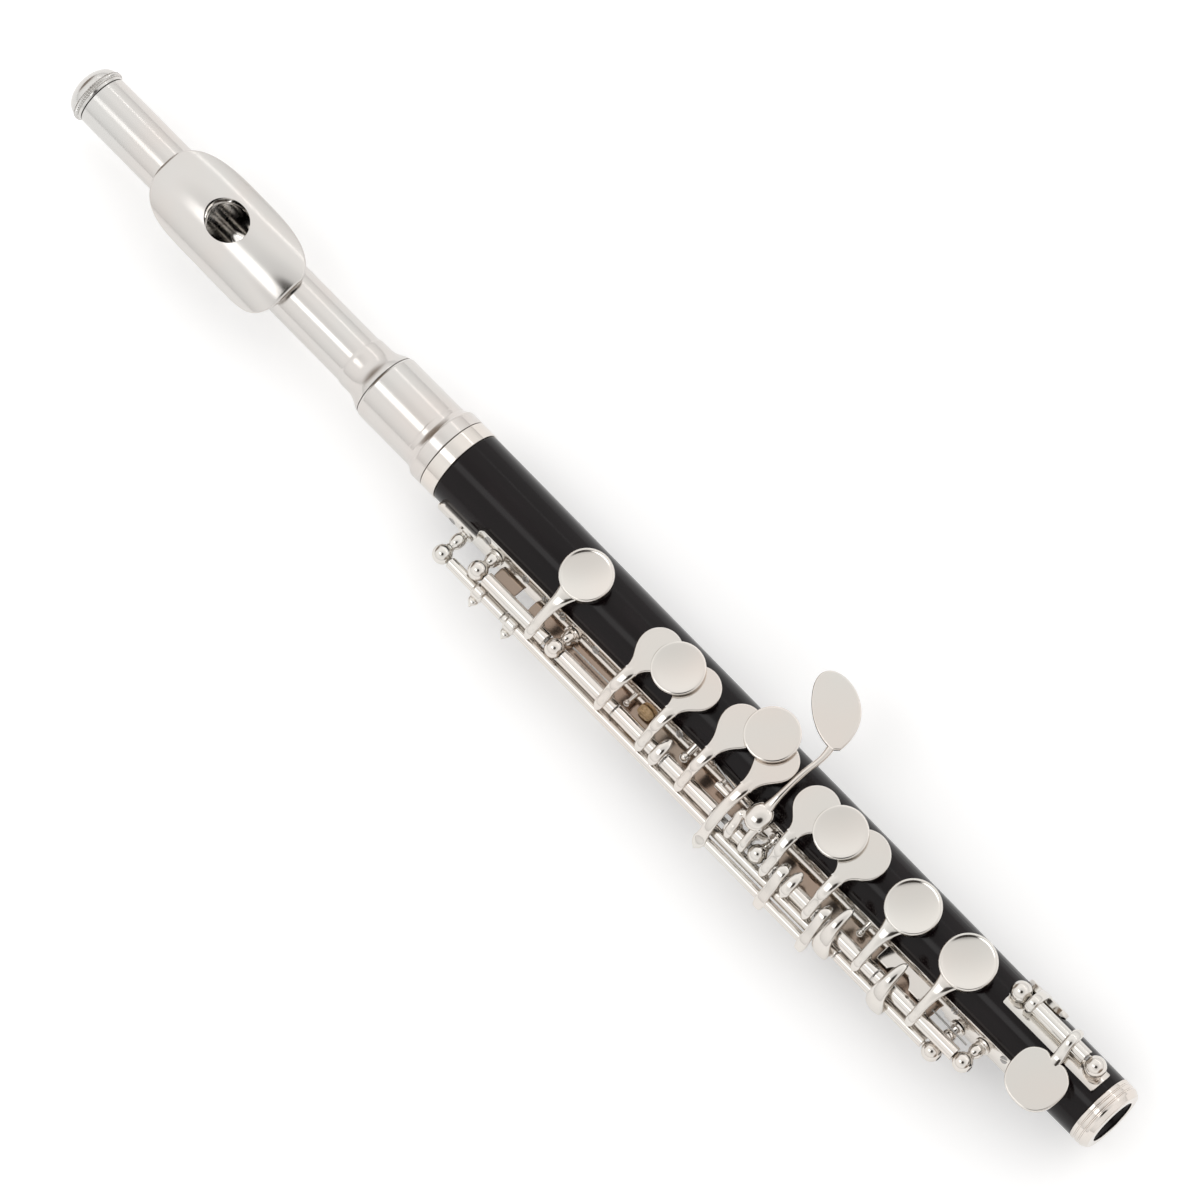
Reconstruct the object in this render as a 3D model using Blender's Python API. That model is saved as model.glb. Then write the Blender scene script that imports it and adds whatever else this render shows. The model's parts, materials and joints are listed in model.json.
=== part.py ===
"""Piccolo: metal head joint, resin body and silver-plated key mechanism, every piece its own object.

Built in millimetres in the bore's frame, then moved so that the origin is the middle of the whole.
+X runs along the bore from the crown to the foot, +Z through the embouchure hole and the key tops,
and the hinge rods are on the -Y side.
"""
import bpy
import bmesh
from math import asin, cos, sin, pi, radians
from mathutils import Vector

MM = 0.001
CENTRE = Vector((154.4, 1.05, 0.4))      # middle of the whole instrument, in the bore's frame
SEG = 10                                  # sides of a hinge tube or a small turned piece
CUP_SEG = 16
TUBE_SEG = 24

# Bore line, mm from the crown's tip
CROWN_TIP, CROWN_END = -1.4, 4.9
HEAD_START, COLLAR, FLARE, RECEIVER, RECEIVER_END = 5.1, 85.0, 89.6, 93.0, 113.6
RING_START, RESIN_START, FOOT_START, FOOT_END = 113.75, 117.7, 305.9, 310.2
HEAD_R, HEAD_BORE, RECEIVER_R, RING_R = 6.0, 5.4, 8.1, 9.05
RESIN_R0, RESIN_R1 = 8.85, 7.88
TENON_START, TENON_R, CORK_R = 94.2, 6.5, 7.4
EMBOUCHURE = Vector((45.8, 0.0, 0.0))
HEAD_TURN = radians(4.0)                  # the lip plate is turned in this much towards the rods
STOPPER_FACE = 38.0
LIP_START, LIP_END, LIP_T = 26.8, 66.3, 0.85
LIP_WIDE, LIP_TALL, LIP_LOW = 11.2, 8.3, 0.5  # half axes of the lip plate's section, its middle's height

# Hinge lines (y, z) and radii
INNER, OUTER, BRIDGE = (-14.2, 5.4), (-16.6, 2.3), (-19.35, 2.0)
DSHARP, THUMB = (3.6, 10.7), (-12.3, -6.4)
ROD_R, OUTER_R, BRIDGE_R, STEEL_R, HOLE_R = 1.62, 1.3, 1.1, 0.6, 0.75
INNER_POSTS = (137.3, 160.4, 221.0, 281.2)
OUTER_POSTS = (128.8, 274.7)
DSHARP_POSTS = (279.8, 301.3)
THUMB_POSTS = (157.2, 177.6)
BALL_R = 2.2

# Key tops
PLATE_TOP, PLATE_T, PAD_T = 11.6, 0.9, 0.95
DISC_TOP = 13.2


def clear_scene():
    for obj in list(bpy.data.objects):
        bpy.data.objects.remove(obj, do_unlink=True)


clear_scene()
piccolo = bpy.data.collections.new("Piccolo")
cutters = bpy.data.collections.new("Cutters")
for made in (piccolo, cutters):
    bpy.context.scene.collection.children.link(made)
cutters.hide_render = True


def material(name, colour, metallic, roughness):
    made = bpy.data.materials.new(name)
    made.use_nodes = True
    shader = made.node_tree.nodes["Principled BSDF"]
    shader.inputs["Base Color"].default_value = (*colour, 1)
    shader.inputs["Metallic"].default_value = metallic
    shader.inputs["Roughness"].default_value = roughness
    return made


LOOKS = {
    "head_silver": ((0.83, 0.81, 0.79), 1, 0.18),
    "key_silver": ((0.86, 0.85, 0.83), 1, 0.14),
    "resin": ((0.022, 0.02, 0.022), 0, 0.3),
    "cork": ((0.62, 0.43, 0.25), 0, 0.85),
    "steel": ((0.6, 0.6, 0.6), 1, 0.25),
    "pad_skin": ((0.75, 0.66, 0.5), 0, 0.6),
}


def radius_at(x):
    """Outside radius of the tapered resin body."""
    return RESIN_R0 + (RESIN_R1 - RESIN_R0) * (x - RESIN_START) / (FOOT_START - RESIN_START)


# ---- shapes, as (points, faces) in millimetres ----

def rings_to_solid(rings, loop=False):
    """Skins rings of equal length. A ring of one point is a tip. Without loop, both ends are capped."""
    points, faces, starts = [], [], []
    for ring in rings:
        starts.append(len(points))
        points += [Vector(p) for p in ring]
    pairs = list(zip(range(len(rings)), range(1, len(rings))))
    if loop:
        pairs.append((len(rings) - 1, 0))
    for a, b in pairs:
        na, nb = len(rings[a]), len(rings[b])
        for k in range(max(na, nb)):
            quad = [starts[a] + k % na, starts[a] + (k + 1) % na, starts[b] + (k + 1) % nb, starts[b]
                    + k % nb]
            face = [v for i, v in enumerate(quad) if v not in quad[:i]]
            faces.append(face)
    if not loop:
        for end in (0, -1):
            if len(rings[end]) > 2:
                faces.append([starts[end] + k for k in range(len(rings[end]))])
    return points, faces


def frame_of(axis):
    axis = Vector(axis).normalized()
    side = Vector((1, 0, 0)) if abs(axis.x) < 0.9 else Vector((0, 1, 0))
    u = (side - axis * side.dot(axis)).normalized()
    return axis, u, axis.cross(u)


def turned(profile, seg, origin=(0, 0, 0), axis=(1, 0, 0), loop=False, stretch=(1, 1)):
    """Revolves (distance along the axis, radius) points."""
    axis, u, v = frame_of(axis)
    origin = Vector(origin)
    rings = []
    for h, r in profile:
        at = origin + axis * h
        if r < 1e-6:
            rings.append([at])
        else:
            rings.append([at + u * (r * stretch[0] * cos(2 * pi * k / seg))
                          + v * (r * stretch[1] * sin(2 * pi * k / seg))
                          for k in range(seg)])
    return rings_to_solid(rings, loop)


def rod(x0, x1, line, r, seg=None):
    return turned([(x0, r), (x1, r)], seg or SEG, (0, *line))


def ball(centre, r, seg=None, squash=(1, 1, 1)):
    seg = seg or SEG
    half = seg // 2
    profile = [(-r * cos(pi * k / half), r * sin(pi * k / half)) for k in range(half + 1)]
    points, faces = turned(profile, seg)
    return [Vector(centre) + Vector(p[i] * squash[i] for i in range(3)) for p in points], faces


def bar(path, across=6, power=2.6):
    """A bent bar: each station is (x, y, z, half width along X, half thickness)."""
    centres = [Vector(s[:3]) for s in path]
    rings = []
    for i, station in enumerate(path):
        before, after = centres[max(i - 1, 0)], centres[min(i + 1, len(path) - 1)]
        along = (after - before).normalized()
        wide = Vector((1, 0, 0)) - along * along.x
        wide.normalize()
        up = wide.cross(along)
        ring = []
        for k in range(across):
            a = 2 * pi * (k + 0.5) / across
            c, s = cos(a), sin(a)
            ring.append(centres[i] + wide * (station[3] * (abs(c) ** (2 / power)) * (1 if c > 0 else -1))
                        + up * (station[4] * (abs(s) ** (2 / power)) * (1 if s > 0 else -1)))
        rings.append(ring)
    return rings_to_solid(rings)


def inset(outline, by):
    """Moves each corner of a flat outline inwards."""
    done, count = [], len(outline)
    area = sum(outline[i][0] * outline[(i + 1) % count][1] - outline[(i + 1) % count][0] * outline[i][1]
               for i in range(count))
    turn = 1 if area > 0 else -1
    for i in range(count):
        a, b, c = Vector(outline[i - 1]), Vector(outline[i]), Vector(outline[(i + 1) % count])
        into = Vector((-(c - a).y, (c - a).x)).normalized() * turn
        done.append(b + into * by)
    return done


def plate(outline, z0, z1, edge=0.25):
    """A flat plate with a rounded top edge."""
    levels = [(z0, 0), (z1 - edge, 0), (z1 - edge * 0.3, edge * 0.3), (z1, edge)]
    return rings_to_solid([[(*p, z) for p in inset(outline, by)] for z, by in levels])


def teardrop(cx, cy, r, neck_x, neck_y, neck_w, round_points=11):
    """Outline of a key cup that narrows into its arm."""
    reach = radians(215)
    arc = [(cx + r * cos(radians(90) + reach / 2 - reach * k / round_points),
            cy + r * sin(radians(90) + reach / 2 - reach * k / round_points)) for k in range(round_points
                                                                                             + 1)]
    right, left = [], []
    for side, start, store in ((1, arc[-1], right), (-1, arc[0], left)):
        a = radians(90) - side * reach / 2
        tangent = Vector((sin(a), -cos(a))) * side
        p0, p3 = Vector(start), Vector((neck_x + side * neck_w, neck_y))
        p1, p2 = p0 + tangent * r * 0.55, p3 + Vector((0, 1)) * (abs(cy - neck_y) * 0.42)
        for t in (0.4, 0.75, 1.0):
            q = p0 * (1 - t) ** 3 + p1 * 3 * t * (1 - t) ** 2 + p2 * 3 * t * t * (1 - t) + p3 * t ** 3
            store.append((q.x, q.y))
    return arc + right + left[::-1]


def cup(x, y, r, top, depth, up=(0, 0, 1), dish=0.35, origin_z=True):
    """A round cup: a slightly dished top with a soft rim, hollow underneath for its pad."""
    up = Vector(up).normalized()
    profile = [(0, 0), (0, r * 0.55), (dish, r - 0.75), (dish + 0.05, r - 0.35), (dish - 0.1, r - 0.05),
               (dish - 0.4, r), (-depth, r), (-depth, r - 0.5), (-PLATE_T, r - 0.5), (-PLATE_T, 0)]
    return turned(profile, CUP_SEG, Vector((x, y, 0)) + up * top if origin_z else Vector((x, y, top)), up)


# ---- objects ----

def add(name, shape, where, pivot=(0, 0, 0)):
    points, faces = shape
    pivot = Vector(pivot)
    mesh = bpy.data.meshes.new(name)
    mesh.from_pydata([(p - pivot) * MM for p in points], [], faces)
    work = bmesh.new()
    work.from_mesh(mesh)
    bmesh.ops.recalc_face_normals(work, faces=work.faces)
    work.to_mesh(mesh)
    work.free()
    obj = bpy.data.objects.new(name, mesh)
    obj.location = (pivot - CENTRE) * MM
    where.objects.link(obj)
    return obj


def shaped(obj, operation, shapes):
    for i, shape in enumerate(shapes):
        tool = add(f"{obj.name}.{operation.lower()}.{i}", shape, cutters)
        tool.hide_render = True
        tool.display_type = "WIRE"
        step = obj.modifiers.new(f"{operation.lower()} {i}", "BOOLEAN")
        step.operation, step.solver, step.object = operation, "EXACT", tool


def piece(name, look, shape, join=(), cut=(), pivot=(0, 0, 0)):
    """One physical piece: a base shape, shapes joined to it and shapes cut from it."""
    obj = add(name, shape, piccolo, pivot)
    shaped(obj, "UNION", join)
    shaped(obj, "DIFFERENCE", cut)
    colour, metallic, roughness = LOOKS[look]
    obj.data.materials.append(material(name, colour, metallic, roughness))
    return obj


def on_head(y, z):
    """Turns a head-joint point in towards the rods."""
    return (y * cos(HEAD_TURN) - z * sin(HEAD_TURN), y * sin(HEAD_TURN) + z * cos(HEAD_TURN))


def saddle(angle, under=0.0, drop=0.0):
    """A point of the lip plate's oval section: angle from the top, depth under its outside."""
    y = (LIP_WIDE - under) * sin(angle)
    z = LIP_LOW - drop + (LIP_TALL - under) * cos(angle)
    return on_head(y, z)


def lip_plate():
    """A saddle over the tube. Its outline is squarer on the lip side, at -Y, than on the far side."""
    middle, reach = (LIP_START + LIP_END) / 2, (LIP_END - LIP_START) / 2
    rings = []
    stations = 15
    for i in range(stations):
        s = -cos(pi * (i + 0.3) / (stations - 0.4))
        near = (10.8 + 0.1 * s) * (1 - abs(s) ** (8 if s > 0 else 5)) ** (1 / 2.4)
        far = (9.4 - 0.2 * s) * (1 - abs(s) ** 3.2) ** (1 / 2.4)
        low, high = -asin(min(near / LIP_WIDE, 0.97)), asin(min(far / LIP_WIDE, 0.97))
        angles = [low + (high - low) * k / 10 for k in range(11)]
        drop = 1.3 * abs(s) ** 4
        rings.append([(middle + reach * s, *saddle(a, 0, drop)) for a in angles]
                     + [(middle + reach * s, *saddle(a, LIP_T, drop)) for a in reversed(angles)])
    return rings_to_solid(rings)


# ---- head joint ----

def build_head():
    piece("crown", "head_silver", turned(
        [(CROWN_TIP, 0), (CROWN_TIP + 0.25, 2.4), (CROWN_TIP + 1.2, 4.6), (1.6, 5.9), (2.9, 6.2),
         (3.1, 6.5), (4.2, 6.5), (4.5, 6.2), (CROWN_END, 6.0), (CROWN_END, 5.2), (10.5, 5.2), (10.5, 1.5),
         (1.2, 1.5), (1.2, 0)], 20))
    piece("stopper_screw", "steel", turned(
        [(4.4, 0), (4.4, 1.2), (26.6, 1.2), (26.6, 5.1), (27.6, 5.1), (27.6, 1.2),
         (STOPPER_FACE - 1.2, 1.2), (STOPPER_FACE - 1.2, 5.2), (STOPPER_FACE, 5.2), (STOPPER_FACE, 0)], 14))
    piece("stopper_cork", "cork", turned(
        [(27.75, 1.35), (27.75, 5.25), (STOPPER_FACE - 1.35, 5.25), (STOPPER_FACE - 1.35, 1.35)],
        14, loop=True))
    up = Vector((0, *on_head(0, 1)))
    chimney = turned([(2.0, 1), (14.0, 1)], 18, EMBOUCHURE, up, stretch=(5.15, 4.6))
    wide = turned([(2.0, 1), (14.0, 1)], 18, EMBOUCHURE, up, stretch=(5.0, 4.5))
    piece("head_tube", "head_silver", turned(
        [(HEAD_START, HEAD_BORE), (HEAD_START, HEAD_R), (COLLAR, HEAD_R), (COLLAR + 0.3, 6.35),
         (FLARE, 6.35), (FLARE + 1.2, 6.9), (RECEIVER - 0.15, 7.85), (RECEIVER - 0.15, 7.2),
         (FLARE + 1.3, 6.2), (FLARE, HEAD_BORE)], TUBE_SEG, loop=True), cut=[wide])
    piece("receiver", "head_silver", turned(
        [(RECEIVER, 7.55), (RECEIVER, 7.95), (RECEIVER + 0.6, RECEIVER_R), (108.8, RECEIVER_R),
         (109.4, 8.5), (110.4, RING_R - 0.1), (110.9, RING_R), (RECEIVER_END, RING_R),
         (RECEIVER_END, 7.55)], TUBE_SEG, loop=True))
    tube = rod(20, 72, (0, 0), HEAD_R + 0.06, 36)
    piece("lip_plate", "head_silver", lip_plate(), cut=[chimney, tube])
    riser = piece("embouchure_riser", "head_silver",
                  turned([(3.0, 1), (9.9, 1)], 18, EMBOUCHURE, up, stretch=(5.9, 5.3)), cut=[chimney, tube])
    gap = LIP_T + 0.17
    under_plate = [[(x, *saddle(radians(9 * k), gap)) for k in range(40)] for x in (30, 62)]
    shaped(riser, "INTERSECT", [rings_to_solid(under_plate)])


# ---- body ----

HOLES_TOP = ((155.2, 0.0, 2.9), (177.1, 0.0, 2.9), (188.5, 0.0, 2.9), (200.4, 1.0, 2.7), (210.9, 1.2, 2.7),
             (223.7, 0.0, 2.9), (237.4, 0.3, 3.1), (252.2, 0.0, 3.3), (268.2, 0.0, 3.3))
HOLES_ROUND = ((139.6, 234, 1.9), (149.3, 234, 1.9), (163.0, 272, 2.7), (216.2, 214, 2.2))
DSHARP_HOLE = (283.2, 11, 3.0)               # x, angle round the body, radius
DSHARP_SEAT, DSHARP_FACE_R = 7.2, 5.95       # its pad shuts on a flat cut into the body


def ray(degrees):
    return Vector((0, cos(radians(degrees)), sin(radians(degrees))))


def build_body():
    seats, bores = [], []
    for x, y, r in HOLES_TOP:
        seats.append(turned([(5.6, r + 1.0), (radius_at(x) + 0.1, r + 1.0)], SEG, (x, y, 0), (0, 0, 1)))
        bores.append(turned([(0, r), (12, r)], SEG, (x, y, 0), (0, 0, 1)))
    for x, degrees, r in HOLES_ROUND:
        seats.append(turned([(5.6, r + 0.9), (radius_at(x) + 0.1, r + 0.9)], SEG, (x, 0, 0), ray(degrees)))
        bores.append(turned([(0, r), (12, r)], SEG, (x, 0, 0), ray(degrees)))
    x, degrees, r = DSHARP_HOLE
    bores.append(turned([(0, r), (12, r)], SEG, (x, 0, 0), ray(degrees)))
    bores.append(turned([(DSHARP_SEAT, DSHARP_FACE_R), (12, DSHARP_FACE_R)], CUP_SEG, (x, 0, 0),
                        ray(degrees)))
    piece("body_tube", "resin", turned(
        [(TENON_START, 5.4), (TENON_START, TENON_R), (RING_START - 2.2, TENON_R), (RING_START - 2.2, 7.4),
         (RESIN_START - 0.1, 7.4), (RESIN_START - 0.1, RESIN_R0 - 0.15), (RESIN_START + 0.3, RESIN_R0),
         (FOOT_START - 0.1, RESIN_R1), (FOOT_START - 0.1, 6.6), (FOOT_END - 0.5, 6.6),
         (FOOT_END - 0.5, 5.3), (FOOT_END - 2.5, 4.75), (RESIN_START, 5.3)], TUBE_SEG, loop=True),
          seats, bores)
    piece("tenon_cork", "cork", turned(
        [(TENON_START + 1.5, TENON_R + 0.1), (TENON_START + 1.5, CORK_R), (RING_START - 2.5, CORK_R),
         (RING_START - 2.5, TENON_R + 0.1)], TUBE_SEG, loop=True))
    piece("body_ring", "key_silver", turned(
        [(RING_START, 7.5), (RING_START, RING_R), (RESIN_START - 0.3, RING_R),
         (RESIN_START - 0.15, RING_R - 0.15), (RESIN_START - 0.15, 7.5)], TUBE_SEG, loop=True))
    edge = 8.05
    piece("foot_ring", "key_silver", turned(
        [(FOOT_START, 6.7), (FOOT_START, edge - 0.1), (FOOT_START + 0.3, edge), (306.9, edge),
         (307.1, edge - 0.2), (307.3, edge), (308.1, edge), (308.3, edge - 0.2), (308.5, edge - 0.05),
         (309.3, edge - 0.3), (FOOT_END, 7.15), (FOOT_END, 5.35), (FOOT_END - 0.4, 5.35),
         (FOOT_END - 0.4, 6.7)], TUBE_SEG, loop=True))


def strap(x0, x1, from_deg, to_deg, height=1.2, steps=5, stations=4):
    """A bar that lies on the tapered body between two angles, with rounded ends."""
    rings = []
    middle, half = (from_deg + to_deg) / 2, (to_deg - from_deg) / 2
    xs = [(x0, 0.55), (x0 + 0.5, 0.85), (x0 + 1.3, 1)]
    xs += [(x0 + (x1 - x0) * k / stations, 1) for k in range(1, stations)]
    xs += [(x1 - 1.3, 1), (x1 - 0.5, 0.85), (x1, 0.55)]
    for x, share in xs:
        inner, outer = radius_at(x) + 0.05, radius_at(x) + height
        angles = [middle + half * share * (2 * k / steps - 1) for k in range(steps + 1)]
        ring = ([(x, *(ray(a) * inner).yz) for a in angles]
                + [(x, *(ray(a) * outer).yz) for a in reversed(angles)])
        rings.append(ring)
    return rings_to_solid(rings)


def post(x, line, foot_r, ball_r=BALL_R):
    """A ball-headed post that stands on its strap and points straight out from the bore."""
    out = Vector((0, *line))
    length = out.length
    out.normalize()
    lift = length - foot_r
    profile = [(0, 0), (0, 1.95), (0.45, 1.95)]
    profile += [(lift - d, r) for d, r in ((5.9, 1.2), (5.2, 1.5), (4.2, 1.6), (3.3, 1.45), (2.6, 1.05))
                if lift - d > 0.6]
    turns = 7
    for k in range(1, turns + 1):
        a = 0.62 + (pi - 0.62) * (k - 1) / (turns - 1)
        profile.append((lift - ball_r * cos(a), ball_r * sin(a) if k < turns else 0))
    return turned(profile, SEG, Vector((x, 0, 0)) + out * foot_r, out)


def build_frames():
    piece("main_rib", "key_silver", strap(131.2, 289.4, 141, 171, stations=8),
          [strap(120.1, 142.0, 164, 187, 1.25), strap(270.6, 279.0, 165, 185, 1.25, stations=2)])
    for i, x in enumerate(INNER_POSTS):
        hole = rod(x - 4, x + 4, INNER, HOLE_R)
        piece(f"inner_post_{i + 1}", "key_silver", post(x, INNER, radius_at(x) + 1.33), cut=[hole])
    for i, x in enumerate(OUTER_POSTS):
        piece(f"outer_post_{i + 1}", "key_silver", post(x, OUTER, radius_at(x) + 1.38),
              cut=[rod(x - 4, x + 4, OUTER, HOLE_R)])
    dsharp_feet = [post(x, DSHARP, radius_at(x) + 0.6, 2.3) for x in DSHARP_POSTS]
    piece("dsharp_strap", "key_silver", strap(278.3, 304.2, 55, 92, 1.1, stations=2), dsharp_feet,
          [rod(270, 310, DSHARP, HOLE_R)])
    thumb_feet = [post(x, THUMB, radius_at(x) + 0.6, 1.9) for x in THUMB_POSTS]
    piece("thumb_strap", "key_silver", strap(154.6, 180.2, 200, 216, 1.1, stations=2), thumb_feet,
          [rod(150, 185, THUMB, HOLE_R)])
    for name, x0, x1, line in (("steel_left_hand", 135.6, 220.9, INNER),
                               ("steel_right_hand", 221.2, 282.9, INNER),
                               ("dsharp_steel", 278.0, 303.1, DSHARP),
                               ("thumb_steel", 155.8, 179.0, THUMB)):
        piece(name, "steel", rod(x0, x1, line, STEEL_R, 12))


# ---- keys ----

def hub(x, line, r=2.1, width=2.2):
    half = width / 2
    return turned([(x - half, r - 0.35), (x - half + 0.35, r), (x + half - 0.35, r), (x + half, r - 0.35)],
                  SEG, (0, *line))


def over_arm(x_hub, x_cup, y_cup, z_cup, w0=1.9, w1=1.15):
    """From the edge of a cup, down and over the inner hinge line to a blunt point outside it."""
    y, z = INNER
    return bar([(x_cup, y_cup + 1.6, z_cup, w0, 0.36),
                (x_cup * 0.8 + x_hub * 0.2, y_cup - 1.2, z_cup - 0.15, w0 * 0.85, 0.5),
                (x_cup * 0.35 + x_hub * 0.65, y_cup - 4.0, z_cup - 0.9, w1 * 1.12, 0.6),
                (x_hub, y + 1.6, z + 2.75, w1, 0.7), (x_hub, y + 0.1, z + 1.95, w1, 0.75),
                (x_hub, y - 1.4, z + 1.15, w1, 0.7), (x_hub, y - 2.2, z + 0.1, w1 * 0.8, 0.55),
                (x_hub, y - 2.75, z - 0.6, w1 * 0.3, 0.25)])


def under_pad(name, x, y, r, top):
    base = top - PLATE_T - 0.05
    piece(name, "pad_skin", turned([(base - PAD_T, 0), (base - PAD_T, r - 0.3), (base - PAD_T + 0.3, r),
                                    (base, r), (base, 0)],
                                   CUP_SEG, (x, y, 0), (0, 0, 1)))


def tear_parts(x_hub, cx, cy, r, neck_w=1.5):
    """A teardrop cup with its skirt and arm. The first shape is the base of the union."""
    outline = teardrop(cx, cy, r, cx * 0.45 + x_hub * 0.55, -7.4, neck_w)
    skirt = turned([(PLATE_TOP - 1.75, r - 0.55), (PLATE_TOP - 1.75, r - 0.1), (PLATE_TOP - 0.5, r - 0.1),
                    (PLATE_TOP - 0.5, r - 0.55)],
                   CUP_SEG, (cx, cy, 0), (0, 0, 1), loop=True)
    return [plate(outline, PLATE_TOP - PLATE_T, PLATE_TOP), skirt,
            over_arm(x_hub, cx * 0.45 + x_hub * 0.55, -7.2, PLATE_TOP - 0.48, neck_w * 0.97)]


def disc(x, y, r, dished, stem):
    """A finger disc standing on a short stem over a cup."""
    rise = 0.3 if dished else 0.05
    top = turned([(DISC_TOP - 1.0, 0), (DISC_TOP - 1.0, r - 0.3), (DISC_TOP - 0.8, r), (DISC_TOP - 0.25, r),
                  (DISC_TOP, r - 0.25), (DISC_TOP, r - 0.5), (DISC_TOP - rise, r * 0.6),
                  (DISC_TOP - rise, 0)], CUP_SEG, (x, y, 0), (0, 0, 1))
    return [top, turned([(PLATE_TOP - 0.4, 1.5), (DISC_TOP - 0.7, 1.5)], 12, (*stem, 0), (0, 0, 1))]


def key(name, line, tube, shapes, more_cuts=(), x_pivot=None):
    """A key whose hinge tube runs along a rod; its first tube is the base shape."""
    bore = [rod(tube[0] - 5, tube[1] + 5, line, HOLE_R)]
    pivot = ((tube[0] + tube[1]) / 2 if x_pivot is None else x_pivot, *line)
    return piece(name, "key_silver", rod(tube[0], tube[1], line, ROD_R), shapes, bore + list(more_cuts),
                 pivot)


def round_key(name, tube, x_hub, x, y, r, top):
    cup_shape = cup(x, y, r, top, 1.75)
    key(name, INNER, tube, [hub(x_hub, INNER), over_arm(x_hub, x, y - r + 0.2, top - 0.48, 2.1), cup_shape])
    under_pad(name.replace("_key", "_pad"), x, y, r - 0.75, top)


def tear_key(name, tube, x_hub, cx, cy, r, extra=()):
    key(name, INNER, tube, [hub(x_hub, INNER)] + tear_parts(x_hub, cx, cy, r) + list(extra))
    under_pad(name.replace("_key", "_pad"), cx, cy, r - 0.75, PLATE_TOP)


def clamp(x, line=INNER):
    """A collar with a lug standing up towards the body, where two keys of one hinge line meet."""
    y, z = line
    return [hub(x, line, 2.15, 2.6), bar([(x, y + 3.3, z + 1.9, 0.5, 0.35),
                                          (x, y + 2.4, z + 1.7, 1.15, 0.75),
                                          (x, y + 0.6, z + 1.7, 1.35, 0.8),
                                          (x, y - 1.4, z + 1.05, 1.35, 0.7),
                                          (x, y - 2.2, z + 0.1, 1.0, 0.55),
                                          (x, y - 2.8, z - 0.5, 0.35, 0.25)])]


def build_upper_keys():
    round_key("c_key", (139.7, 158.0), 154.6, 155.2, 0.1, 5.8, 12.0)
    tear_key("bflat_cup_key", (162.8, 178.7), 175.6, 177.1, 0.0, 4.9)
    tear_key("a_key", (179.0, 193.4), 187.8, 188.5, 0.1, 4.9,
             clamp(191.8) + disc(182.9, -0.1, 5.75, True, (185.6, 0.0)))
    tear_key("g_key", (193.7, 208.3), 199.6, 200.4, 1.0, 4.75, disc(206.4, 4.1, 6.0, False, (203.0, 2.2)))
    tear_key("fsharp_cup_key", (223.4, 226.1), 224.6, 223.7, 0.0, 5.0)
    tear_key("f_key", (229.5, 238.5), 237.1, 237.4, 0.3, 5.5,
             clamp(230.7) + disc(231.0, -0.1, 5.8, True, (234.2, 0.2)))
    round_key("e_key", (241.9, 255.9), 251.9, 252.2, -0.1, 6.0, 11.7)
    round_key("d_key", (256.2, 279.1), 267.8, 268.2, 0.0, 6.1, 11.7)


def build_lower_g():
    """The lower G cup reaches its two hinge collars through a bridge outside the outer rod."""
    x, (y, z), (by, bz) = 210.0, INNER, BRIDGE
    outline = teardrop(210.9, 1.2, 4.6, 210.4, -7.4, 1.5)
    skirt = tear_parts(x, 210.9, 1.2, 4.6)[1]
    top = PLATE_TOP - 0.48
    arm = bar([(210.4, -5.6, top, 1.45, 0.4), (210.3, -8.4, top - 0.15, 1.4, 0.5),
               (210.1, -11.2, top - 1.0, 1.3, 0.6), (x, -13.2, top - 2.1, 1.25, 0.65),
               (x, -15.6, top - 3.6, 1.25, 0.65), (x, -17.6, top - 5.4, 1.25, 0.7),
               (x, by + 0.2, bz + 1.6, 1.35, 0.8), (x, by - 0.8, bz + 0.1, 1.25, 0.8),
               (x, by - 1.5, bz - 1.1, 0.6, 0.4)])
    shapes = [plate(outline, PLATE_TOP - PLATE_T, PLATE_TOP), skirt, arm,
              rod(x + 0.1, 240.1, BRIDGE, BRIDGE_R)]
    for x, w in ((227.9, 1.2), (240.2, 1.15)):
        shapes += [hub(x, INNER, 2.1, 2.3),
                   bar([(x - 0.37, y + 2.6, z + 1.6, w * 0.6, 0.4), (x - 0.3, y + 1.5, z + 1.9, w, 0.65),
                        (x - 0.2, y, z + 1.75, w, 0.7), (x, y - 1.7, z + 0.75, w, 0.7),
                        (x, -17.9, 4.35, w, 0.65), (x, by - 0.1, 2.9, w, 0.75),
                        (x, by - 0.9, 1.6, w, 0.75), (x, by - 1.4, 0.7, w * 0.6, 0.4)])]
    key("lower_g_key", INNER, (226.6, 229.1), shapes + [rod(239.0, 241.5, INNER, ROD_R)],
        [rod(237, 244, INNER, HOLE_R)], 228.0)
    under_pad("lower_g_pad", 210.9, 1.2, 3.85, PLATE_TOP)


def gsharp_touch(points=20):
    """Outline of the lever's touch: an egg whose narrow end runs into the lever."""
    middle, along, across = Vector((211.6, 17.0)), Vector((-0.695, 0.719)), Vector((0.719, 0.695))
    outline = []
    for k in range(points):
        a = 2 * pi * (k + 0.5) / points
        c, s = cos(a), sin(a)
        u, w = (0.5 + 8.05 * c, 5.1 * s) if c > 0 else (0.5 + 9.3 * c, 5.1 * s * abs(s) ** 0.6)
        bend = 0.3 - 0.012 * max(u + 4, 0) ** 2
        outline.append(tuple(middle + along * u + across * (w + bend)))
    return outline


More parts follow.
